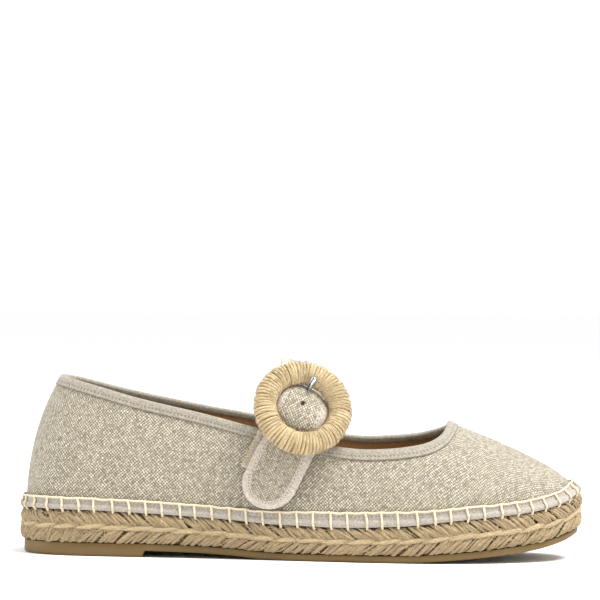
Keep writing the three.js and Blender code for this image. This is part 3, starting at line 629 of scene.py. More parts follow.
def upper_net(side):
    """Columns of turns and runs from the foot to the edge under the binding, heel's back to toe."""
    turn_top, run_top, _ = topline_half(UPPER_UNDER_BINDING, side, HALF_COLUMNS)
    run_top[-1] = 1
    along = np.linspace(0, 1, HALF_COLUMNS + 1)
    tops = last_point(turn_top, run_top)
    on_quarter = tops[:, 0] < QUARTER_REACH
    marks = np.nonzero(on_quarter)[0][::FOOT_MARKS]
    turn_foot = smooth_curve(np.append(along[marks], 1), np.append(np.abs(turn_top[marks]), math.pi))(along)
    lift = np.linspace(0, 1, UPPER_ROWS + 1) ** 2
    turns = side * (turn_foot[:, None] + (np.abs(turn_top) - turn_foot)[:, None] * lift[None, :])
    runs = run_top[:, None] * lift[None, :]

    # Over the vamp the columns run straight in plan, and the last of them bend to the ridge's toe end
    feet = last_point(side * turn_foot, 0.0)[:, None, :2]
    in_plan = feet + (tops[:, None, :2] - feet) * lift[None, :, None]
    ridge_end = last_point(np.array([math.pi]), 1.0)[:, :2]
    near_end = np.maximum(0, 1 - np.abs(in_plan[..., :1] - ridge_end[..., :1]) / TOE_BEND)
    off_line = ridge_end[:, 1:] - np.interp(ridge_end[:, 0], [tops[-1, 0], feet[-1, 0, 0]],
                                            [tops[-1, 1], feet[-1, 0, 1]])
    near_middle = np.maximum(0, 1 - (1 - along) / BENT_COLUMNS)[:, None, None]
    in_plan[..., 1:] += near_end * off_line * near_middle
    turn_ahead, run_ahead = rib_through(in_plan, side)
    ahead = (~on_quarter)[:, None] & (lift > 0)[None, :]
    return np.where(ahead, turn_ahead, turns), np.where(ahead, run_ahead, runs)


def vamp_flat(turns, runs):
    """Flat place in millimetres: ribs laid square to the ridge, and fanned out round the toe."""
    steps = np.linspace(0, 1, 25)
    ribs = last_point(turns[..., None], runs[..., None] + (1 - runs[..., None]) * steps)
    reach = np.linalg.norm(np.diff(ribs, axis=-2), axis=-1).sum(-1)
    foot, top = last_point(turns, np.zeros_like(runs)), last_point(turns, np.ones_like(runs))
    fan = np.arctan2(np.abs(foot[..., 1] - top[..., 1]), foot[..., 0] - top[..., 0])
    along = np.linspace(RIDGE["at"][0], RIDGE["at"][-1], 200)
    rise = np.gradient(INSTEP_HEIGHT * ridge_height(along), SOLE_LENGTH * along)
    length = np.cumsum(np.hypot(1, rise)) * SOLE_LENGTH * (along[1] - along[0])
    start = np.interp(share_at(np.abs(turns)), along, length)
    return np.stack([start + reach * np.cos(fan), np.sign(turns) * reach * np.sin(fan)], -1)


def upper_parts():
    """Points, and parts of faces, their corners' flat places and 0 for linen or 1 for lining."""
    points, parts = [], []
    for side in (-1, 1):
        turns, runs = upper_net(side)
        outer = last_point(turns, runs)
        inner = outer - last_normal(turns, runs) * UPPER_WALL
        inner[:, 0, 2] = outer[:, 0, 2]
        columns, rows = outer.shape[:2]
        count = columns * rows
        first = count * len(points)
        points += [outer.reshape(-1, 3), inner.reshape(-1, 3)]

        # The quarter's pattern follows the foot's line, the vamp's is laid square to the ridge
        rise = np.zeros((columns, rows))
        rise[:, 1:] = np.cumsum(np.linalg.norm(np.diff(outer, axis=1), axis=2), 1)
        quarter = np.stack(np.broadcast_arrays(side * length_along(outer[:, 0])[:, None], rise), -1).reshape(-1, 2)
        vamp = vamp_flat(turns, runs).reshape(-1, 2) + VAMP_PATTERN_SHIFT
        quads = grid_faces(columns, rows)
        is_vamp = share_at(np.abs(turns[quads[:, 0] // rows, 0])) > SIDE_SEAM_SHARE
        flat = np.where(is_vamp[:, None, None], vamp[quads], quarter[quads])
        if side > 0:
            quads, flat = quads[:, ::-1], flat[:, ::-1]
        lining = quads[:, ::-1]
        parts += [(quads + first, flat, 0), (lining + first + count, quarter[lining], 1)]

        # The wall's cut edges, at the foot and under the binding
        column = np.arange(columns - 1) * rows
        for row in (0, rows - 1):
            near, far = column + row, column + rows + row
            strip = np.stack([near, far, far + count, near + count], -1)
            if (row == 0) == (side < 0):
                strip = strip[:, ::-1]
            parts.append((strip + first, quarter[strip % count], 1))
    return np.concatenate(points), parts


def tidy_mesh(mesh, merge=0.0, turn_out=True):
    """Joins points that coincide, and turns the faces' fronts outward."""
    work = bmesh.new()
    work.from_mesh(mesh)
    if merge:
        bmesh.ops.remove_doubles(work, verts=work.verts, dist=merge)
    if turn_out:
        bmesh.ops.recalc_face_normals(work, faces=work.faces)
    work.to_mesh(mesh)
    work.free()


def add_upper():
    points, parts = upper_parts()
    faces = np.concatenate([faces for faces, flat, slot in parts])
    flats = np.concatenate([flat for faces, flat, slot in parts])
    slots = np.concatenate([np.full(len(faces), slot) for faces, flat, slot in parts])
    linen = woven_cloth("linen", 1.1, 42, **LINEN)
    piece = add_piece("upper_linen", points, faces, None, linen, "linen", stands_for=("upper",))
    mesh = piece.data
    mesh.materials.append(plain_lining("brown lining", **LINING))
    mesh.polygons.foreach_set("material_index", slots)
    mesh.uv_layers.new(name="UVMap").data.foreach_set("uv", flats.ravel())
    tidy_mesh(mesh, 1e-6)


add_upper()

# Collar binding: cotton tape folded over the whole topline and sewn through near its lower edge.
# It is about 5 mm wide outside, with a row of small stitches near its lower edge; below them a thin strip at the
# edge is darkened as painted shade of the step there.
BINDING_OVER = 0.5
BINDING_BULGE = 0.16
BINDING_COLUMNS = 420
INNER_LEG = 3.1
COLLAR_TAPE = dict(dark="777063", middle="8c8577", light="9f9a8c", thread="5f5144")
# Painted shade: the colour of the thin strip along the tape's lower edge
PAINTED_EDGE_SHADOW = "5c5042"


def stitch_group():
    """A row of machine stitches: a mask of the thread, and the trough that it pulls in the cloth."""
    group = bpy.data.node_groups.new("Machine stitches", "ShaderNodeTree")
    for name in ("Along", "Off the row", "Spacing", "Thread width", "Stitch share"):
        group.interface.new_socket(name, in_out="INPUT", socket_type="NodeSocketFloat")
    for name in ("Stitch", "Trough"):
        group.interface.new_socket(name, in_out="OUTPUT", socket_type="NodeSocketFloat")
    inside = group.nodes.new("NodeGroupInput").outputs
    outside = group.nodes.new("NodeGroupOutput")
    away = maths(group, "ABSOLUTE", inside["Off the row"])
    on_row = maths(group, "LESS_THAN", away, inside["Thread width"])
    step = maths(group, "FRACT", maths(group, "DIVIDE", inside["Along"], inside["Spacing"]))
    on_thread = maths(group, "LESS_THAN", step, inside["Stitch share"])
    trough = add_node(group, "ShaderNodeMapRange", Value=away, From_Max=0.8, To_Min=-2.0, To_Max=0.0)
    group.links.new(maths(group, "MULTIPLY", on_row, on_thread), outside.inputs["Stitch"])
    group.links.new(trough.outputs[0], outside.inputs["Trough"])
    return group


STITCHES = stitch_group()


def stitched_tape(name, pitch, row, spacing, dark, middle, light, thread, painted_shadow_from=None):
    """Fine tape with a row of machine stitches at a height of its flat pattern."""
    material, tree, shader = new_material(name)
    threads, tone = woven_threads(tree, cloth_place(tree, "UVMap", pitch, 0), 0.15, dark, middle, light)
    axes = add_node(tree, "ShaderNodeSeparateXYZ", Vector=flat_pattern(tree)).outputs
    stitches = add_node(tree, "ShaderNodeGroup", {"node_tree": STITCHES}, Along=axes["X"],
                        Off_the_row=maths(tree, "SUBTRACT", axes["Y"], row), Spacing=spacing,
                        Thread_width=0.33, Stitch_share=0.42).outputs
    tone = mix_colours(tree, maths(tree, "MULTIPLY", stitches["Stitch"], 0.8), tone, thread)
    # Painted shade: beyond a height of the flat pattern the tape is darkened, as the shadow of the step at its edge
    if painted_shadow_from is not None:
        in_painted_shadow = maths(tree, "MULTIPLY", maths(tree, "GREATER_THAN", axes["Y"], painted_shadow_from), 0.75)
        tone = mix_colours(tree, in_painted_shadow, tone, PAINTED_EDGE_SHADOW)
    tree.links.new(tone, shader.inputs["Base Color"])
    matt_cloth(shader, 0.9)
    height = maths(tree, "ADD", threads.outputs["Height"], stitches["Trough"])
    raise_surface(tree, shader, height, 0.5, 0.00015)
    return material


def flat_grid(along, down):
    """Flat places of a grid of points: along it by row and down it by column."""
    return np.stack(np.broadcast_arrays(along[:, None], down[None, :]), -1).reshape(-1, 2)


def add_binding():
    # The tape's section: how far down from the topline's edge, and how far out from the linen's face
    outside = [
        (BINDING_WIDTH, 0.05), (BINDING_WIDTH, BINDING_OVER), (BINDING_WIDTH - 0.3, BINDING_OVER + 0.1),
        (BINDING_WIDTH * 0.7, BINDING_OVER - 0.05), (BINDING_WIDTH * 0.4, BINDING_OVER + 0.12),
        (0.9, BINDING_OVER + 0.1), (0.25, BINDING_OVER - 0.35), (0, -UPPER_WALL / 2),
    ]
    inside = [
        (0.3, -UPPER_WALL - BINDING_OVER + 0.4), (1, -UPPER_WALL - BINDING_OVER),
        (INNER_LEG * 0.7, -UPPER_WALL - BINDING_OVER), (INNER_LEG, -UPPER_WALL - BINDING_OVER),
        (INNER_LEG, -UPPER_WALL - 0.05),
    ]
    halves = []
    for side in (-1, 1):
        turn, run, length = topline_half(0, side, BINDING_COLUMNS)
        below_turn, below_run, _ = topline_half(BINDING_WIDTH, side, BINDING_COLUMNS)
        edge, below = last_point(turn, run), last_point(below_turn, below_run)
        top_normal, low_normal = last_normal(turn, run), last_normal(below_turn, below_run)
        along = np.linspace(0, length, BINDING_COLUMNS + 1)
        rows = []
        for down, out in outside + inside:
            share = down / BINDING_WIDTH
            bulge = BINDING_BULGE * 4 * share * (1 - share)
            normal = top_normal + (low_normal - top_normal) * share
            normal /= np.linalg.norm(normal, axis=1, keepdims=True)
            rows.append(edge + (below - edge) * share + normal * (out + bulge))
        halves.append((np.stack(rows, 1), along if side < 0 else 2 * length - along))
    (outer_side, outer_along), (inner_side, inner_along) = halves
    points = np.concatenate([outer_side, inner_side[::-1][1:-1]])
    along = np.concatenate([outer_along, inner_along[::-1][1:-1]])
    down = np.array([down for down, out in outside] + [-down for down, out in inside])
    tape = stitched_tape("collar tape", 0.55, BINDING_WIDTH - 1.75, 1.7, **COLLAR_TAPE,
                         painted_shadow_from=BINDING_WIDTH - 0.32)
    faces = grid_faces(*points.shape[:2], wrap_rows=True, wrap_columns=True)
    piece = add_piece("collar_tape", points.reshape(-1, 3), faces, flat_grid(along, down), tape, "binding",
                      stands_for=("collar_binding",))
    tidy_mesh(piece.data)


add_binding()

# Foot tape: a band of soft tape sewn round the upper's foot, flat above and rolled over a cord below.
# It lies on the linen, just over the jute, and is partly pulled under by the stitches at heel and toe.
TAPE_HEIGHT = 6.4
TAPE_THICKNESS = 0.8
TAPE_ROLL = 1.7
TAPE_COLUMNS = 760
FOOT_TAPE = dict(dark="898277", middle="9a9287", light="aba499", thread="7b6c63")
# The tape by share of the length: how much of its height shows
TAPE_SHOWS = {
    "at": (0, 0.14, 0.32, 0.42, 0.575, 0.66, 0.77, 0.96, 1),
    "share": (0.82, 0.82, 0.82, 0.85, 1.02, 1, 0.84, 0.8, 0.8),
}
tape_shows = smooth_curve(TAPE_SHOWS["at"], TAPE_SHOWS["share"])


def foot_point(turn, up, out):
    """A point over the upper's foot: its distance up the last's slope and its stand-off from it."""
    up = up * np.where(np.asarray(up) > 0, tape_shows(share_at(turn)), 1)
    low, high = np.zeros_like(turn), np.ones_like(turn)
    foot = last_point(turn, 0)
    for _ in range(26):
        run = (low + high) / 2
        below = np.linalg.norm(last_point(turn, run) - foot, axis=-1) < np.maximum(up, 0)
        low, high = np.where(below, run, low), np.where(below, high, run)
    point = last_point(turn, run)
    placed = point + last_normal(turn, run) * np.expand_dims(np.broadcast_to(out, turn.shape), -1)
    placed[..., 2] = np.where(up <= 0, point[..., 2] + up, placed[..., 2])
    return placed


def add_foot_tape():
    turns, lengths, _ = around(TAPE_COLUMNS)
    face = GAP + TAPE_THICKNESS
    # The band's section from its lower edge up: out from the linen, and up from the jute
    profile = [(0.05, 0.05)]
    profile += [(face + (TAPE_ROLL - TAPE_THICKNESS) * math.sin(a), TAPE_HEIGHT * (0.28 - 0.25 * math.cos(a)))
                for a in np.linspace(0.15, math.pi - 0.25, 9)]
    profile += [
        (GAP + TAPE_THICKNESS * 0.8, TAPE_HEIGHT * 0.58), (face, TAPE_HEIGHT * 0.66), (face, TAPE_HEIGHT * 0.9),
        (GAP + TAPE_THICKNESS * 0.8, TAPE_HEIGHT), (0.05, TAPE_HEIGHT * 1.01),
    ]
    points = np.stack([foot_point(turns, up, out) for out, up in profile], 1)
    uvs = flat_grid(lengths, np.array([up for out, up in profile]))
    tape = stitched_tape("foot tape", 0.6, TAPE_HEIGHT * 0.78, 1.9, **FOOT_TAPE)
    piece = add_piece("foot_band", points.reshape(-1, 3), grid_faces(*points.shape[:2], wrap_rows=True), uvs,
                      tape, "tape", stands_for=("foot_tape",))
    tidy_mesh(piece.data, turn_out=False)


add_foot_tape()

# Jute sole: a braid of slack jute yarn wound round and glued to the rubber, dressed with a matted heel.
# Upper bundles lean one way, lower ones the other, and a paler yarn runs between them.
JUTE_PITCH = 9.4
JUTE_STRANDS = 7
BUNDLE_SPREAD = 0.8
# How far the strands of a bundle differ at random: place, share of the wall, slant, stand-off, thickness
STRAND_PLACE = 0.45
STRAND_SHARE = 0.03
STRAND_SLANT = 0.16
STRAND_OUT = 0.22
STRAND_THICKNESS = 0.13
HEEL_MATTED = 38
HEEL_MATTED_FADE = 22
CORE_COLUMNS = 1200
CORE_LEVELS = 16
CORE_DEPTH = 1.25
CORE_WALL = 9
MIDDLE_PITCH = 11.5
MIDDLE_RUN = 15.5
STRAY_FIBRES = 2400
STRAY_LENGTH = (2.5, 8)
STRAY_RADIUS = (0.09, 0.2)
STRAY_HEEL_SHARE = 0.4
STRAY_HEEL_REACH = 52
# The core's colours are darker than the bundles' jute: painted shade in the gaps between the bundles
JUTE_CORE_PAINTED_SHADE = dict(dark="4f3d26", middle="705838", light="957a52", fineness=1.2)
JUTE = dict(dark="6f5839", middle="9a8461", light="c6b38e", fineness=2.2)
PALE_JUTE = dict(dark="846c49", middle="b19c76", light="d4c39e", fineness=2.4)


def fibre_group():
    """Fibres along a twisted yarn: dark and pale streaks, and their height."""
    group = bpy.data.node_groups.new("Yarn fibres", "ShaderNodeTree")
    group.interface.new_socket("Yarn place", in_out="INPUT", socket_type="NodeSocketVector")
    group.interface.new_socket("Fineness", in_out="INPUT", socket_type="NodeSocketFloat")
    for name in ("Streaks", "Height"):
        group.interface.new_socket(name, in_out="OUTPUT", socket_type="NodeSocketFloat")
    inside = group.nodes.new("NodeGroupInput")
    outside = group.nodes.new("NodeGroupOutput")
    axes = add_node(group, "ShaderNodeSeparateXYZ", Vector=inside.outputs["Yarn place"]).outputs
    twisted = maths(group, "ADD", maths(group, "MULTIPLY", axes["Y"], inside.outputs["Fineness"]),
                    maths(group, "MULTIPLY", axes["X"], 0.9))
    along = maths(group, "MULTIPLY", axes["X"], 0.35)
    place = add_node(group, "ShaderNodeCombineXYZ", X=along, Y=twisted, Z=axes["Z"]).outputs[0]
    broad = add_node(group, "ShaderNodeTexNoise", Vector=place, Scale=1.0, Detail=3.0, Roughness=0.65).outputs[0]
    fine = add_node(group, "ShaderNodeTexNoise", Vector=place, Scale=3.1, Detail=2.0).outputs[0]
    streaks = maths(group, "MULTIPLY_ADD", fine, 0.4, maths(group, "MULTIPLY", broad, 0.6))
    group.links.new(streaks, outside.inputs["Streaks"])
    group.links.new(maths(group, "ADD", streaks, fine), outside.inputs["Height"])
    return group


FIBRES = fibre_group()


def yarn(name, dark, middle, light, fineness, relief=0.0004, roughness=0.95):
    """Twisted yarn, its fibres along the flat pattern's X; a larger fineness gives thinner fibres."""
    material, tree, shader = new_material(name)
    fibres = add_node(tree, "ShaderNodeGroup", {"node_tree": FIBRES}, Yarn_place=flat_pattern(tree),
                      Fineness=fineness)
    tone = colour_steps(tree, fibres.outputs["Streaks"], (0.3, dark), (0.5, middle), (0.7, light))
    tree.links.new(tone, shader.inputs["Base Color"])
    shader.inputs["Roughness"].default_value = roughness
    shader.inputs["Sheen Weight"].default_value = 0.1
    raise_surface(tree, shader, fibres.outputs["Height"], 0.8, relief)
    return material


def tubes(paths, radii, sides=7, flat_axis=(0, 0, 1.0)):
    """Many round yarns at once: paths is yarns by steps by 3, radii is yarns by steps."""
    paths = np.asarray(paths, float)
    yarns, steps = paths.shape[:2]
    tangent = np.gradient(paths, axis=1)
    tangent /= np.maximum(np.linalg.norm(tangent, axis=2, keepdims=True), 1e-9)
    side = np.cross(tangent, np.broadcast_to(flat_axis, paths.shape))
    side /= np.maximum(np.linalg.norm(side, axis=2, keepdims=True), 1e-9)
    up = np.cross(side, tangent)
    angle = np.linspace(0, 2 * math.pi, sides, endpoint=False)
    ring = (side[:, :, None] * np.cos(angle)[None, None, :, None]
            + up[:, :, None] * np.sin(angle)[None, None, :, None])
    points = paths[:, :, None] + ring * radii[:, :, None, None]

    # Each yarn has its own stretch of the pattern, so that no two look alike
    length = np.zeros((yarns, steps))
    length[:, 1:] = np.cumsum(np.linalg.norm(np.diff(paths, axis=1), axis=2), 1)
    own = (np.arange(yarns) * 7.77)[:, None]
    u = np.broadcast_to((length + own)[:, :, None], points.shape[:3])
    v = np.broadcast_to((angle * np.mean(radii))[None, None, :], points.shape[:3]) + own[:, :, None] * 0.37
    one = grid_faces(steps, sides, wrap_columns=True)
    faces = (one[None] + (np.arange(yarns) * steps * sides)[:, None, None]).reshape(-1, 4)
    return points.reshape(-1, 3), faces, np.stack([u, v], -1).reshape(-1, 2)


jute_random = np.random.default_rng(11)
wall_turns, wall_lengths, WALL_GIRTH = around(2400)


def wall_turn(length):
    """The turn at a length round the sole from the toe."""
    length = np.mod(length, WALL_GIRTH)
    return np.interp(length, np.append(wall_lengths, WALL_GIRTH), np.append(wall_turns, math.pi))


def wall_point(length, share, out):
    """A point of the jute's side: length round the sole from the toe, share of its height, stand-off."""
    turn = wall_turn(length)
    at = share_at(turn)
    height = seam(at) + (rim(at) - seam(at)) * share
    round_off = -0.9 * np.clip((share - 0.72) / 0.28, 0, 1) ** 2 - 0.7 * np.clip((0.12 - share) / 0.12, 0, 1) ** 2
    return edge_point(turn, out + round_off, height)


def heel_nearness(length):
    """1 at the heel's back, where the yarns are matted, falling to 0 along the sides."""
    away = np.abs(np.mod(length, WALL_GIRTH) - WALL_GIRTH / 2)
    return 1 - np.clip((away - HEEL_MATTED) / HEEL_MATTED_FADE, 0, 1)


def bundle_paths(starts, run, low, high, depth):
    """Strands of leaning bundles, from a share of the wall to another, sunk in by a depth."""
    paths, radii = [], []
    steps = np.linspace(0, 1, 10)
    arch = np.sin(math.pi * np.clip(steps * 0.94 + 0.03, 0, 1)) ** 0.6

    def differ(amount):
        """A random difference for each bundle."""
        return jute_random.normal(0, amount, (len(starts), 1))

    for strand in range(JUTE_STRANDS):
        begin = starts + (strand - (JUTE_STRANDS - 1) / 2) * JUTE_PITCH / JUTE_STRANDS * BUNDLE_SPREAD
        wobble, spread, slant = differ(STRAND_PLACE), differ(STRAND_SHARE), 1 + differ(STRAND_SLANT)
        length = begin[:, None] - run * slant * (steps - 0.5)[None, :] + wobble
        share = low + (high - low) * steps[None, :] + spread
        matted = heel_nearness(begin)[:, None] * differ(1)
        share = share + matted * 0.05 * np.sin(steps * 5 + begin[:, None])
        out = -depth - 0.55 + 1.2 * arch[None, :] + differ(STRAND_OUT)
        paths.append(wall_point(length, np.clip(share, 0.01, 1.02), out))
        radii.append((0.7 + differ(STRAND_THICKNESS)) * (0.45 + 0.6 * arch[None, :]))
    return np.concatenate(paths), np.concatenate(radii)


def add_jute():
    lengths = np.linspace(0, WALL_GIRTH, CORE_COLUMNS, endpoint=False)
    shares = np.linspace(0, 1, CORE_LEVELS)
    grid = np.concatenate([
        wall_point(lengths, 0.0, -CORE_WALL)[:, None],
        wall_point(lengths[:, None], shares[None, :], -CORE_DEPTH),
        wall_point(lengths, 1.0, -CORE_WALL)[:, None],
    ], 1)
    uvs = flat_grid(lengths, np.arange(grid.shape[1]) * 1.0)
    piece = add_piece("jute_core", grid.reshape(-1, 3), grid_faces(*grid.shape[:2], wrap_rows=True), uvs,
                      yarn("jute core", **JUTE_CORE_PAINTED_SHADE), "jute", stands_for=("jute_sole",))
    tidy_mesh(piece.data)

    bundles = int(round(WALL_GIRTH / JUTE_PITCH))
    starts = np.arange(bundles) * WALL_GIRTH / bundles
    upper_paths, upper_radii = bundle_paths(starts, 8.5, 1.0, 0.5, 0.0)
    lower_paths, lower_radii = bundle_paths(starts + 2, 8.0, 0.0, 0.47, 0.2)
    paths, radii = np.concatenate([upper_paths, lower_paths]), np.concatenate([upper_radii, lower_radii])
    add_piece("jute_bundles", *tubes(paths, radii), yarn("jute yarn", **JUTE), "jute")

    # The paler yarn between the bundles, in three strands that dip at each crossing
    runs = int(round(WALL_GIRTH / MIDDLE_PITCH))
    begin = np.arange(runs) * WALL_GIRTH / runs
    steps = np.linspace(0, 1, 14)
    arch = np.sin(math.pi * np.clip(steps * 0.95 + 0.025, 0, 1)) ** 0.5
    paths, radii = [], []
    for lift, sink in ((0.03, 0), (-0.03, 0.15), (0.0, -0.2)):
        length = begin[:, None] + MIDDLE_RUN * steps[None, :] + jute_random.normal(0, 0.4, (runs, 1))
        share = 0.56 + lift - 0.11 * steps[None, :] + jute_random.normal(0, 0.01, (runs, 1))
        paths.append(wall_point(length, share, -0.5 + 0.95 * arch[None, :] - sink))
        radii.append(np.broadcast_to(0.35 + 0.6 * arch[None, :], (runs, len(steps))))
    pale = yarn("pale jute yarn", **PALE_JUTE)
    add_piece("jute_middle_yarn", *tubes(np.concatenate(paths), np.concatenate(radii)), pale, "jute")

    # Stray fibres lie over the bundles at all angles, thickest where the heel is matted
    begin = jute_random.uniform(0, WALL_GIRTH, STRAY_FIBRES)
    heel = WALL_GIRTH / 2 + jute_random.uniform(-STRAY_HEEL_REACH, STRAY_HEEL_REACH, STRAY_FIBRES)
    begin = np.where(jute_random.uniform(0, 1, STRAY_FIBRES) < STRAY_HEEL_SHARE, heel, begin)
    start = jute_random.uniform(0.04, 0.98, STRAY_FIBRES)
    long = jute_random.uniform(*STRAY_LENGTH, STRAY_FIBRES)
    angle = jute_random.normal(-0.6, 0.8, STRAY_FIBRES) * np.where(start > 0.5, 1, -1)
    steps = np.linspace(0, 1, 6)
    length = begin[:, None] + (long * np.cos(angle))[:, None] * steps[None, :]
    share = start[:, None] + (long * np.sin(angle))[:, None] * steps[None, :] / JUTE_WALL
    bow = jute_random.uniform(0.1, 0.8, STRAY_FIBRES)[:, None] * np.sin(math.pi * steps)[None, :]
    path = wall_point(length, np.clip(share, 0.02, 0.99), 0.45 + bow)
    radii = jute_random.uniform(*STRAY_RADIUS, STRAY_FIBRES)[:, None] * np.ones((1, len(steps)))
    add_piece("jute_stray_fibres", *tubes(path, radii, 4), pale, "jute")


add_jute()

# Blanket stitches: thick cream cotton sewn by hand over the foot tape into the jute.
# A thread runs from stitch to stitch along the tape's upper edge.
STITCH_SPACING = 7.8
STITCH_THREAD = 0.58
THREAD_TOP = 1.06
THREAD_COLOURS = dict(dark="b3a180", middle="d2c3a6", light="e6d9be", fineness=3.0, relief=0.0002)


def add_blanket_stitches():
    count = int(round(WALL_GIRTH / STITCH_SPACING))
    random = np.random.default_rng(5)
    lengths = (np.arange(count) + 0.5) * WALL_GIRTH / count + random.normal(0, 0.35, count)
    face = GAP + TAPE_THICKNESS
    # A stitch's way from inside the jute over the tape: up from the jute, and out from the linen
    rise = [
        (-2.4, -0.4), (-1.2, 0.55), (0.2, face + 0.65), (TAPE_HEIGHT * 0.2, GAP + TAPE_ROLL + 0.45),
        (TAPE_HEIGHT * 0.42, GAP + TAPE_ROLL + 0.35), (TAPE_HEIGHT * 0.66, face + 0.5),
        (TAPE_HEIGHT * 0.88, face + 0.5), (TAPE_HEIGHT * THREAD_TOP, face + 0.35),
    ]
    lean = random.normal(0.5, 0.5, count)
    steps = np.linspace(0, 1, 22)
    keys = np.linspace(0, 1, len(rise))
    ups = smooth_curve(keys, [up for up, out in rise])(steps)
    outs = smooth_curve(keys, [out for up, out in rise])(steps)
    length = lengths[:, None] - lean[:, None] * np.sin(math.pi * steps)[None, :] * 0.6 + (steps[None, :] - 0.5) * 0.8
    turn = wall_turn(length)
    low = foot_point(turn, np.minimum(ups, 0)[None, :] * np.ones_like(turn), outs[None, :])
    high = foot_point(turn, np.maximum(ups, 0)[None, :] * np.ones_like(turn), outs[None, :])
    bars = np.where((ups < 0)[None, :, None], low, high)

    # The thread along the tape's upper edge sags a little between two stitches
    between = np.linspace(0, 1, 12)
    ends = np.append(lengths[1:], lengths[0] + WALL_GIRTH)
    length = lengths[:, None] + (ends - lengths)[:, None] * between[None, :] + 0.4
    sag = random.uniform(0.1, 0.55, count)[:, None] * np.sin(math.pi * between)[None, :]
    top = foot_point(wall_turn(length), TAPE_HEIGHT * THREAD_TOP - sag, face + 0.3)
    points, faces, uvs = tubes(bars, np.full((count, len(steps)), STITCH_THREAD), 8)
    more, more_faces, more_uvs = tubes(top, np.full((count, len(between)), STITCH_THREAD * 0.9), 8)
    add_piece("blanket_stitches", np.concatenate([points, more]), np.concatenate([faces, more_faces + len(points)]),
              np.concatenate([uvs, more_uvs]), yarn("cream thread", **THREAD_COLOURS), "tape")


add_blanket_stitches()

# Insole: a thin sock of brown cotton glued on the jute inside the upper.
# Its edge is cut to the last and meets the upper's lining.
INSOLE_THICKNESS = 2.4
INSOLE_COLUMNS = 360
SOCK = dict(dark="8f7250", middle="a98b62", light="bda079", gap_painted_shade="6f5639")


def add_insole():
    turns, _, _ = around(INSOLE_COLUMNS)
    rings = []
    for lift, inward in ((0, 0), (INSOLE_THICKNESS * 0.7, 0), (INSOLE_THICKNESS, 0.6)):
        run = run_at_height(turns, lift + UPPER_WALL)
        ring = last_point(turns, run) - last_normal(turns, run) * (UPPER_WALL + GAP + inward)
        ring[:, 2] = rim(share_at(turns)) + GAP + lift
        rings.append(ring)
    points = np.concatenate(rings)
    faces = np.concatenate([
        grid_faces(len(rings), INSOLE_COLUMNS, wrap_columns=True),
        cap_faces(0, INSOLE_COLUMNS)[:, ::-1],
        cap_faces((len(rings) - 1) * INSOLE_COLUMNS, INSOLE_COLUMNS),
    ])
    piece = add_piece("insole_sock", points, faces, points[:, :2], woven_cloth("sock cotton", 0.9, 0, **SOCK),
                      "sock", stands_for=("insole",))
    tidy_mesh(piece.data)


add_insole()

# Strap: a band of the same linen with turned and stitched edges, sewn inside the inner quarter.
# It crosses the instep, humps up inside the ring over the bar, and its round end hangs free.
INSTEP_AT = 131
STRAP_WIDTH = 25
STRAP_THICKNESS = 1.5
STRAP_EDGE = 3.7
STITCH_ROW = STRAP_EDGE - 0.8
EDGE_ROUND = 0.9
EDGE_DROP = 0.45
EDGE_STEP = 0.28
STITCH_DEPTH = 0.22
STRAP_LEAN = 0.38
STRAP_LEAN_ABOVE = -0.08
STRAP_LEAN_BELOW = 0.475
STRAP_BEND_DROP = 20
STRAP_WIDTH_IN_RING = 23.4
STRAP_TAIL = 45
STRAP_DOME = 10.2
DOME_SQUASH = 0.8
STRAP_COLUMNS = 37
INNER_END_SHARE = 0.72
INNER_END_DEPTH = 11
SIDE_STARTS = 8
CREST_LIFT = 3.5
CREST_SPAN = 13
TILT_REACH = 1.2
RING_RADIUS = 17.3
RING_TUBE = 5.3
RING_HEIGHT = 63.7
RING_SHIFT = 0.4
RING_TWIST = math.radians(12)
RING_LIFT = 2.9
# The strap lifts off the instep between these places, in ring radii above the ring's middle
LIFT_STARTS = 2.4
LIFT_ENDS = 1.1
TAB_THICKNESS = 1.2
TAB_OUT = BINDING_OVER + GAP
TAIL_OUT = TAB_OUT + TAB_THICKNESS + GAP + STRAP_THICKNESS
UNDER_RING = TAIL_OUT + 0.2
RING_OUT = UNDER_RING + RING_TUBE + RING_LIFT
DOME_RADIUS = RING_RADIUS - RING_TUBE + 0.8
PUNCH_RADIUS = 0.95
PUNCH_PLACE = (-1.3, -0.3)
PUNCH_DEPTH = 1.2
STRAP_ACROSS = np.array([1, 0, -STRAP_LEAN]) / math.hypot(1, STRAP_LEAN)
TURNED_EDGE = dict(dark="9a9083", middle="b0a699", light="c6bdb0")
EDGE_THREAD = "75655a"
# Painted shade: the colour of the punched hole where the prong goes through
PAINTED_HOLE_SHADE = "30261c"
# Shares of a rib's run where the strap's line is pinned to the last, from the foot to near the ridge
STRAP_RUNS = np.array([0, 0.01, 0.04, 0.1, 0.2, 0.34, 0.5, 0.7, 0.88])


def smoothstep(x, low, high):
    """0 below low and 1 above high, with a soft change between them."""
    t = np.clip((np.asarray(x, float) - low) / (high - low), 0, 1)
    return t * t * (3 - 2 * t)


def centripetal(points, steps=60):
    """A smooth line through points, as many short steps."""
    points = np.array(points, float)
    padded = np.vstack([2 * points[0] - points[1], points, 2 * points[-1] - points[-2]])
    line = []
    for i in range(len(points) - 1):
        p0, p1, p2, p3 = padded[i:i + 4]
        d0, d1, d2 = (np.linalg.norm(b - a) ** 0.5 for a, b in ((p0, p1), (p1, p2), (p2, p3)))
        t1 = ((p1 - p0) / d0 - (p2 - p0) / (d0 + d1) + (p2 - p1) / d1) * d1
        t2 = ((p2 - p1) / d1 - (p3 - p1) / (d1 + d2) + (p3 - p2) / d2) * d1
        t = np.linspace(0, 1, steps, endpoint=False)[:, None]
        line.append(p1 + t1 * t + (-3 * p1 + 3 * p2 - 2 * t1 - t2) * t**2 + (2 * p1 - 2 * p2 + t1 + t2) * t**3)
    return np.vstack(line + [points[-1:]])


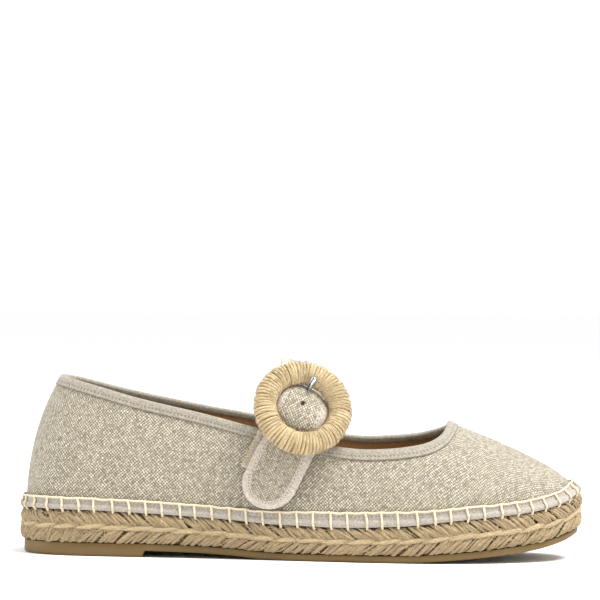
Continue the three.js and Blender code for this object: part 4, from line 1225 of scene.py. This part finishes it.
def strap_line():
    """The middle line of the strap on the last, from the inner side's foot over the instep to the outer's."""
    def on_last(side, run):
        """Points of the ribs that the leaning strap crosses, found in a few rounds."""
        at = np.full(np.shape(run), float(INSTEP_AT))
        for _ in range(8):
            point = last_point(side * turn_at(at / SOLE_LENGTH), run)
            drop = INSTEP_HEIGHT - point[..., 2]
            below = np.maximum(0, drop - STRAP_BEND_DROP)
            at = INSTEP_AT - STRAP_LEAN_ABOVE * drop - (STRAP_LEAN_BELOW - STRAP_LEAN_ABOVE) * below
        return point

    return centripetal(np.vstack([on_last(1, STRAP_RUNS), on_last(1, np.array([1.0])),
                                  on_last(-1, STRAP_RUNS[::-1])]))


STRAP_LINE = strap_line()
STRAP_STEPS = length_along(STRAP_LINE)
STRAP_TANGENT = np.gradient(STRAP_LINE, STRAP_STEPS, axis=0)


def strap_length_at(height, side):
    """The length along the strap's line where it is at a height, on one side of the shoe."""
    half = len(STRAP_LINE) // 2
    part = slice(half, None) if side < 0 else slice(0, half)
    heights, lengths = STRAP_LINE[part, 2], STRAP_STEPS[part]
    order = np.argsort(heights)
    return np.interp(height, heights[order], lengths[order])


RING_AT = strap_length_at(RING_HEIGHT, -1)


def side_point(x, z, side):
    """The last's surface and its normal at a place seen from the side."""
    share = x / SOLE_LENGTH
    for _ in range(3):
        turn = side * turn_at(share)
        run = run_at_height(turn, z - last_point(turn, 0)[..., 2])
        point = last_point(turn, run)
        normal = last_normal(turn, run)
        share = share + (x - point[..., 0]) / SOLE_LENGTH
    return point, normal


def strap_point(along, across, out):
    """A point by the strap: along it from the ring's middle, across it and out from the last."""
    along, across, out = np.broadcast_arrays(*(np.asarray(v, float) for v in (along, across, out)))
    at = RING_AT + along
    base = np.stack([np.interp(at, STRAP_STEPS, STRAP_LINE[:, k]) for k in range(3)], -1)
    tangent = np.stack([np.interp(at, STRAP_STEPS, STRAP_TANGENT[:, k]) for k in range(3)], -1)
    normal = np.cross(tangent, STRAP_ACROSS)
    normal /= np.linalg.norm(normal, axis=-1, keepdims=True)
    wanted = base + STRAP_ACROSS * across[..., None]
    straight = wanted + normal * out[..., None]
    on_side = smoothstep(INSTEP_HEIGHT - base[..., 2], SIDE_STARTS, SIDE_STARTS * 3)[..., None]
    point, side_normal = side_point(wanted[..., 0], wanted[..., 2], np.where(base[..., 1] < 0, -1, 1))
    side = point + side_normal * out[..., None]
    return straight + (side - straight) * on_side


def strap_out(along, across):
    """How far the strap's face stands out: close over the instep, and domed over the bar in the ring."""
    reach = np.hypot(along, across * DOME_SQUASH) / DOME_RADIUS
    tilt = -np.tan(RING_TWIST) * across * np.maximum(0, 1 - (reach / TILT_REACH) ** 4)
    dome = np.maximum(0, STRAP_DOME * np.maximum(0, 1 - reach**4) + tilt)
    near_ring = smoothstep(along, -RING_RADIUS * LIFT_STARTS, -RING_RADIUS * LIFT_ENDS)
    return (STRAP_THICKNESS + GAP) * (1 - near_ring) + UNDER_RING * near_ring + dome


def edged_cloth(name):
    """Linen with a smooth turned edge: the flat pattern's Y is the way in from the edge."""
    material, tree, shader = new_material(name)
    colours = [LINEN[key] for key in ("dark", "middle", "light")]
    threads, tone = woven_threads(tree, cloth_place(tree, "Weave", 0.95, 38), 0.4, *colours, low=0.28, high=0.72)
    # Painted shade: the low gaps between the threads are darkened
    tone = mix_colours(tree, maths(tree, "MULTIPLY", threads.outputs["Gap"], 0.7), tone, LINEN["gap_painted_shade"])
    edge_threads, edge_tone = woven_threads(tree, cloth_place(tree, "UVMap", 0.55, 0), 0.15, **TURNED_EDGE)
    axes = add_node(tree, "ShaderNodeSeparateXYZ", Vector=flat_pattern(tree)).outputs
    on_edge = maths(tree, "LESS_THAN", axes["Y"], STRAP_EDGE)
    tone = mix_colours(tree, on_edge, tone, edge_tone)
    stitches = add_node(tree, "ShaderNodeGroup", {"node_tree": STITCHES}, Along=axes["X"],
                        Off_the_row=maths(tree, "SUBTRACT", axes["Y"], STITCH_ROW), Spacing=1.8,
                        Thread_width=0.3, Stitch_share=0.4).outputs
    tone = mix_colours(tree, maths(tree, "MULTIPLY", stitches["Stitch"], 0.8), tone, EDGE_THREAD)
    # Painted shade: the punched hole is a dark disc in the colour
    off_hole = add_node(tree, "ShaderNodeVectorMath", {"operation": "DISTANCE"}, i0=flat_pattern(tree, "Weave"),
                        i1=(*PUNCH_PLACE, 0)).outputs["Value"]
    tone = mix_colours(tree, maths(tree, "LESS_THAN", off_hole, PUNCH_RADIUS), tone, PAINTED_HOLE_SHADE)
    tree.links.new(tone, shader.inputs["Base Color"])
    matt_cloth(shader)
    height = add_node(tree, "ShaderNodeMix", i0=on_edge, i2=threads.outputs["Height"],
                      i3=maths(tree, "MULTIPLY", edge_threads.outputs["Height"], 0.4)).outputs[0]
    raise_surface(tree, shader, height, 0.6, 0.0003)
    return material


def add_band(name, top, low, edge_uv, weave_uv, material, stands_for):
    """A flat closed band between two grids of points, with patterns of its edge and of its weave."""
    rows, columns = top.shape[:2]
    count = rows * columns
    face = grid_faces(rows, columns)
    r = np.arange(rows - 1) * columns
    c = np.arange(columns - 1)
    last = r + columns - 1
    back = np.stack([c, c + 1, c + 1 + count, c + count], -1)
    faces = np.concatenate([
        face, face[:, ::-1] + count,
        np.stack([r, r + count, r + columns + count, r + columns], -1),
        np.stack([last, last + columns, last + columns + count, last + count], -1),
        back, (back + (rows - 1) * columns)[:, ::-1],
    ])
    points = np.concatenate([top.reshape(-1, 3), low.reshape(-1, 3)])
    piece = add_piece(name, points, faces, np.tile(edge_uv.reshape(-1, 2), (2, 1)), material, "linen",
                      stands_for=(stands_for,))
    add_uv(piece.data, "Weave", np.tile(weave_uv.reshape(-1, 2), (2, 1)))
    tidy_mesh(piece.data)


def add_strap():
    inner_top = strap_length_at(HEEL_TOP * INNER_END_SHARE, 1) - RING_AT
    half = STRAP_WIDTH / 2
    tip_start = STRAP_TAIL - half
    along = np.concatenate([
        np.linspace(inner_top - INNER_END_DEPTH, -DOME_RADIUS, 90, endpoint=False),
        np.linspace(-DOME_RADIUS, DOME_RADIUS, 50, endpoint=False),
        np.linspace(DOME_RADIUS, tip_start, 22, endpoint=False),
        tip_start + half * np.sin(np.linspace(0, 1, 26) * 0.5 * math.pi * 0.985),
    ])
    narrow = smoothstep(np.abs(along), DOME_RADIUS, RING_RADIUS + RING_TUBE)
    width = STRAP_WIDTH_IN_RING / 2 * (1 - narrow) + half * narrow
    tip = np.maximum(along - tip_start, 0)
    width = width * np.sqrt(np.maximum(1 - (tip / half) ** 2, 0))
    side = np.linspace(-1, 1, STRAP_COLUMNS)
    side = np.sign(side) * (1 - (1 - np.abs(side)) ** 1.3)
    across = width[:, None] * side[None, :]
    rows = along[:, None] * np.ones((1, STRAP_COLUMNS))

    # Way in from the nearest edge, the rounded end counted
    inward = width[:, None] - np.abs(across)
    from_tip = half - np.hypot(np.maximum(rows - tip_start, 0), across)
    inward = np.where(rows > tip_start, from_tip, inward)

    # The inner end is sunk behind the quarter; the edges are rounded and thicker than the middle
    sunk = smoothstep(rows, inner_top + 3, inner_top + 30)
    inside = -(UPPER_WALL + BINDING_OVER + GAP)
    out = inside + (strap_out(rows, across) - inside) * sunk
    edge_round = -EDGE_DROP * (1 - np.clip(inward / EDGE_ROUND, 0, 1)) ** 2
    band = EDGE_STEP * smoothstep(inward, STRAP_EDGE + 0.5, STRAP_EDGE - 0.1)
    trough = -STITCH_DEPTH * np.exp(-((inward - STITCH_ROW) / 0.5) ** 2)
    punched = np.hypot(rows - PUNCH_PLACE[0], across - PUNCH_PLACE[1])
    trough = trough - PUNCH_DEPTH * smoothstep(punched, PUNCH_RADIUS + 0.5, PUNCH_RADIUS - 0.5)
    top = strap_point(rows, across, out + edge_round + band + trough)
    low = strap_point(rows, across, out - STRAP_THICKNESS - edge_round)

    # The crest over the instep stands a little higher at its front edge
    crest = along[np.argmax(top[:, STRAP_COLUMNS // 2, 2])]
    lift = CREST_LIFT * np.exp(-((rows - crest) / CREST_SPAN) ** 2) * (0.5 + across / STRAP_WIDTH)
    top[..., 2] += lift
    low[..., 2] += lift

    round_end = tip_start + np.arctan2(rows - tip_start, np.abs(across)) * half
    edge_uv = np.stack([np.where(rows > tip_start, round_end, rows), inward], -1)
    add_band("strap_band", top, low, edge_uv, np.stack([rows, across], -1), edged_cloth("strap linen"), "strap")


add_strap()

# Anchor tab: a short doubled piece of linen sewn on the outer quarter under the strap's free end.
# It comes up to the bar, and its rear edge shows beside the strap, overlocked and a little frayed.
TAB_LENGTH = 31
TAB_SHOWS = 3.2
TAB_START = 1.5
OVERLOCK_SPACING = 1.3
OVERLOCK = dict(dark="8d7a5c", middle="c2b08e", light="e9dcbf", fineness=3.0, relief=0.0002)


def add_tab():
    along = np.linspace(TAB_START, TAB_LENGTH, 60)
    across = np.linspace(-(STRAP_WIDTH / 2 + TAB_SHOWS), STRAP_WIDTH / 2 - GAP, 30)
    rows, sides = np.meshgrid(along, across, indexing="ij")
    inward = np.minimum(np.minimum(sides - across[0], across[-1] - sides), TAB_LENGTH - rows)
    add_band("anchor_tab", strap_point(rows, sides, TAB_OUT + TAB_THICKNESS), strap_point(rows, sides, TAB_OUT),
             np.stack([rows, inward], -1), np.stack([rows, sides], -1), edged_cloth("tab linen"), "strap_tab")

    # Overlock threads lie over the rear edge, with loose ends beyond it
    random = np.random.default_rng(17)
    count = int(TAB_LENGTH / OVERLOCK_SPACING)
    place = (np.arange(count) + 0.5) * OVERLOCK_SPACING + random.normal(0, 0.15, count)
    steps = np.linspace(0, 1, 8)
    reach = random.uniform(1.6, 2.6, count)[:, None]
    beyond = random.uniform(0.1, 0.9, count)[:, None]
    side = across[0] + reach - (reach + beyond) * steps[None, :]
    lean = place[:, None] + random.normal(0.6, 0.4, (count, 1)) * steps[None, :]
    path = strap_point(lean, side, TAB_OUT + TAB_THICKNESS + 0.1 + 0.25 * np.sin(math.pi * steps)[None, :])
    radii = random.uniform(0.22, 0.36, count)[:, None] * np.ones((1, len(steps)))
    add_piece("tab_overlock", *tubes(path, radii, 6), yarn("overlock thread", **OVERLOCK), "linen")


add_tab()

# Ring buckle: a round frame wound closely with jute cord, so that only the winding shows.
# It lies over the strap, turned a little toward the toe, and hairs of the cord stand off it.
WINDINGS = 76
WINDING_STEPS = 26
CORD_RADIUS = 0.74
RING_HAIRS = 700
HAIR_RADIUS = 0.1
FRAME_STEPS = 120
FRAME_SIDES = 20
# The core's colours are darker than the cord's: painted shade in the gaps between the turns
RING_CORE_PAINTED_SHADE = dict(dark="82602f", middle="9c7745", light="b48d58", fineness=1.5)
RING_CORD = dict(dark="a98a5a", middle="d2ba8c", light="ecdfbd", fineness=3.0, relief=0.0007, roughness=0.8)


def ring_frame():
    """The ring's middle, and the ways out from it, up along the strap and across."""
    middle = strap_point(0, RING_SHIFT, RING_OUT)
    out = middle - strap_point(0, RING_SHIFT, 0)
    out /= np.linalg.norm(out)
    up = np.cross(out, STRAP_ACROSS)
    up /= np.linalg.norm(up)
    across = np.cross(up, out)
    twisted = out * math.cos(RING_TWIST) + across * math.sin(RING_TWIST)
    return middle, twisted, up, np.cross(up, twisted)


def ring_point(around_it, round_tube, reach):
    """A point by the ring: the turn round it, the turn round its tube, distance from the tube's middle."""
    middle, out, up, across = ring_frame()
    radial = across * np.cos(around_it)[..., None] + up * np.sin(around_it)[..., None]
    wide = RING_RADIUS + reach * np.cos(round_tube)
    return middle + radial * wide[..., None] + out * (reach * np.sin(round_tube))[..., None]


def add_ring():
    big, small = np.meshgrid(np.linspace(0, 2 * math.pi, FRAME_STEPS, endpoint=False),
                             np.linspace(0, 2 * math.pi, FRAME_SIDES, endpoint=False), indexing="ij")
    core = ring_point(big, small, np.full(big.shape, RING_TUBE - CORD_RADIUS * 1.2))
    uvs = np.stack([big * RING_RADIUS, small * RING_TUBE], -1).reshape(-1, 2)
    add_piece("ring_core", core.reshape(-1, 3), grid_faces(*big.shape, True, True), uvs,
              yarn("ring core", **RING_CORE_PAINTED_SHADE), "wrap", stands_for=("buckle_ring",))

    # The cord in one length, its turns a little uneven in place, height and thickness
    random = np.random.default_rng(3)
    turn = np.linspace(0, 2 * math.pi, WINDINGS * WINDING_STEPS, endpoint=False)

    def round_ring(values):
        """Values given evenly round the ring, at each step of the cord."""
        return np.interp(turn, np.linspace(0, 2 * math.pi, len(values)), values)

    at = turn + round_ring(random.normal(0, 0.009, WINDINGS * 2 + 1))
    stand = round_ring(random.normal(0, 0.13, WINDINGS + 1))
    thick = CORD_RADIUS * round_ring(random.uniform(0.88, 1.1, WINDINGS + 1))
    path = ring_point(at, turn * WINDINGS, RING_TUBE - CORD_RADIUS + stand)
    off_middle = path - ring_point(at, turn * WINDINGS, np.zeros(len(turn)))
    cord = yarn("ring cord", **RING_CORD)
    add_piece("ring_winding", *tubes(path[None], thick[None], 8, flat_axis=off_middle[None]), cord, "wrap")

    # Hairs of the cord stand off the winding, most of them along its turns
    hair_at, round_tube = random.uniform(0, 2 * math.pi, (2, RING_HAIRS, 1))
    steps = np.linspace(0, 1, 5)[None, :]
    sweep = random.uniform(0.35, 1.1, (RING_HAIRS, 1)) * random.choice([-1, 1], (RING_HAIRS, 1))
    drift = random.normal(0, 0.06, (RING_HAIRS, 1))
    rise = random.uniform(0.05, 0.45, (RING_HAIRS, 1))
    rise = rise * np.sin(math.pi * steps * random.uniform(0.5, 1, (RING_HAIRS, 1)))
    hairs = ring_point(hair_at + drift * steps, round_tube + sweep * steps, RING_TUBE + rise)
    add_piece("ring_hairs", *tubes(hairs, np.full(hairs.shape[:2], HAIR_RADIUS), 4), cord, "wrap")


add_ring()

# Bar and prong: nickel-plated steel wire. The bar crosses the ring's back and the prong turns on it.
# The prong comes up through a punched hole and rests over the ring's upper edge.
BAR_RADIUS = 1.2
BAR_DROP = 6
BAR_STEPS = 12
PRONG_RADIUS = 1.3
PRONG_REACH = 10
PRONG_LEAN = 0.2
PRONG_SIDE = -3
PRONG_OVER_TUBE = (22, 42, 62)
WIRE_SIDES = 20
REFLECTION_BANDS = 3.2
# The dark colour is painted reflection, in bands along the wire
STEEL = dict(bright="d6d8e0", dark="3d4468")


def plated_steel(name, bright, dark):
    """Bright plate with painted reflections: dark bands along the wire."""
    material, tree, shader = new_material(name)
    round_it = add_node(tree, "ShaderNodeSeparateXYZ", Vector=flat_pattern(tree)).outputs["Y"]
    # Painted reflection: dark bands round the wire, each running along it
    wave = maths(tree, "SINE", maths(tree, "MULTIPLY", round_it, REFLECTION_BANDS))
    line = maths(tree, "GREATER_THAN", wave, 0.55)
    tree.links.new(mix_colours(tree, line, bright, dark), shader.inputs["Base Color"])
    shader.inputs["Metallic"].default_value = 0.85
    shader.inputs["Roughness"].default_value = 0.22
    return material


def add_bar_and_prong():
    middle, out, up, across = ring_frame()
    reach = RING_RADIUS - math.sqrt(RING_TUBE**2 - (BAR_DROP - BAR_RADIUS) ** 2) - GAP
    bar = np.stack([middle - out * BAR_DROP + across * reach * t for t in np.linspace(-1, 1, BAR_STEPS)])
    metal = plated_steel("plated steel", **STEEL)
    wire = tubes(bar[None], np.full((1, BAR_STEPS), BAR_RADIUS), WIRE_SIDES, flat_axis=out)
    add_piece("bar_wire", *wire, metal, "steel", stands_for=("buckle_bar",))

    # The prong rises from the bar through the strap and bends over the ring's tube
    over = RING_TUBE + PRONG_RADIUS + GAP

    def place(rise, lift):
        return middle + up * rise + out * lift + across * (PRONG_SIDE + rise * PRONG_LEAN)

    def over_tube(degrees):
        angle = math.radians(degrees)
        return place(RING_RADIUS - over * math.cos(angle), over * math.sin(angle))

    line = centripetal([
        place(BAR_RADIUS + GAP, -BAR_DROP), place(PRONG_REACH * 0.68, -BAR_DROP * 0.8),
        place(PRONG_REACH, -BAR_DROP * 0.2), *(over_tube(degrees) for degrees in PRONG_OVER_TUBE),
    ], 10)
    length = length_along(line)
    to_tip = np.clip((length[-1] - length) / PRONG_RADIUS, 0, 1)
    radii = PRONG_RADIUS * np.sqrt(np.clip(1 - (1 - to_tip) ** 2, 0.02, 1))
    wire = tubes(line[None], radii[None], WIRE_SIDES, flat_axis=across)
    add_piece("prong_wire", *wire, metal, "steel", stands_for=("buckle_prong",))


add_bar_and_prong()
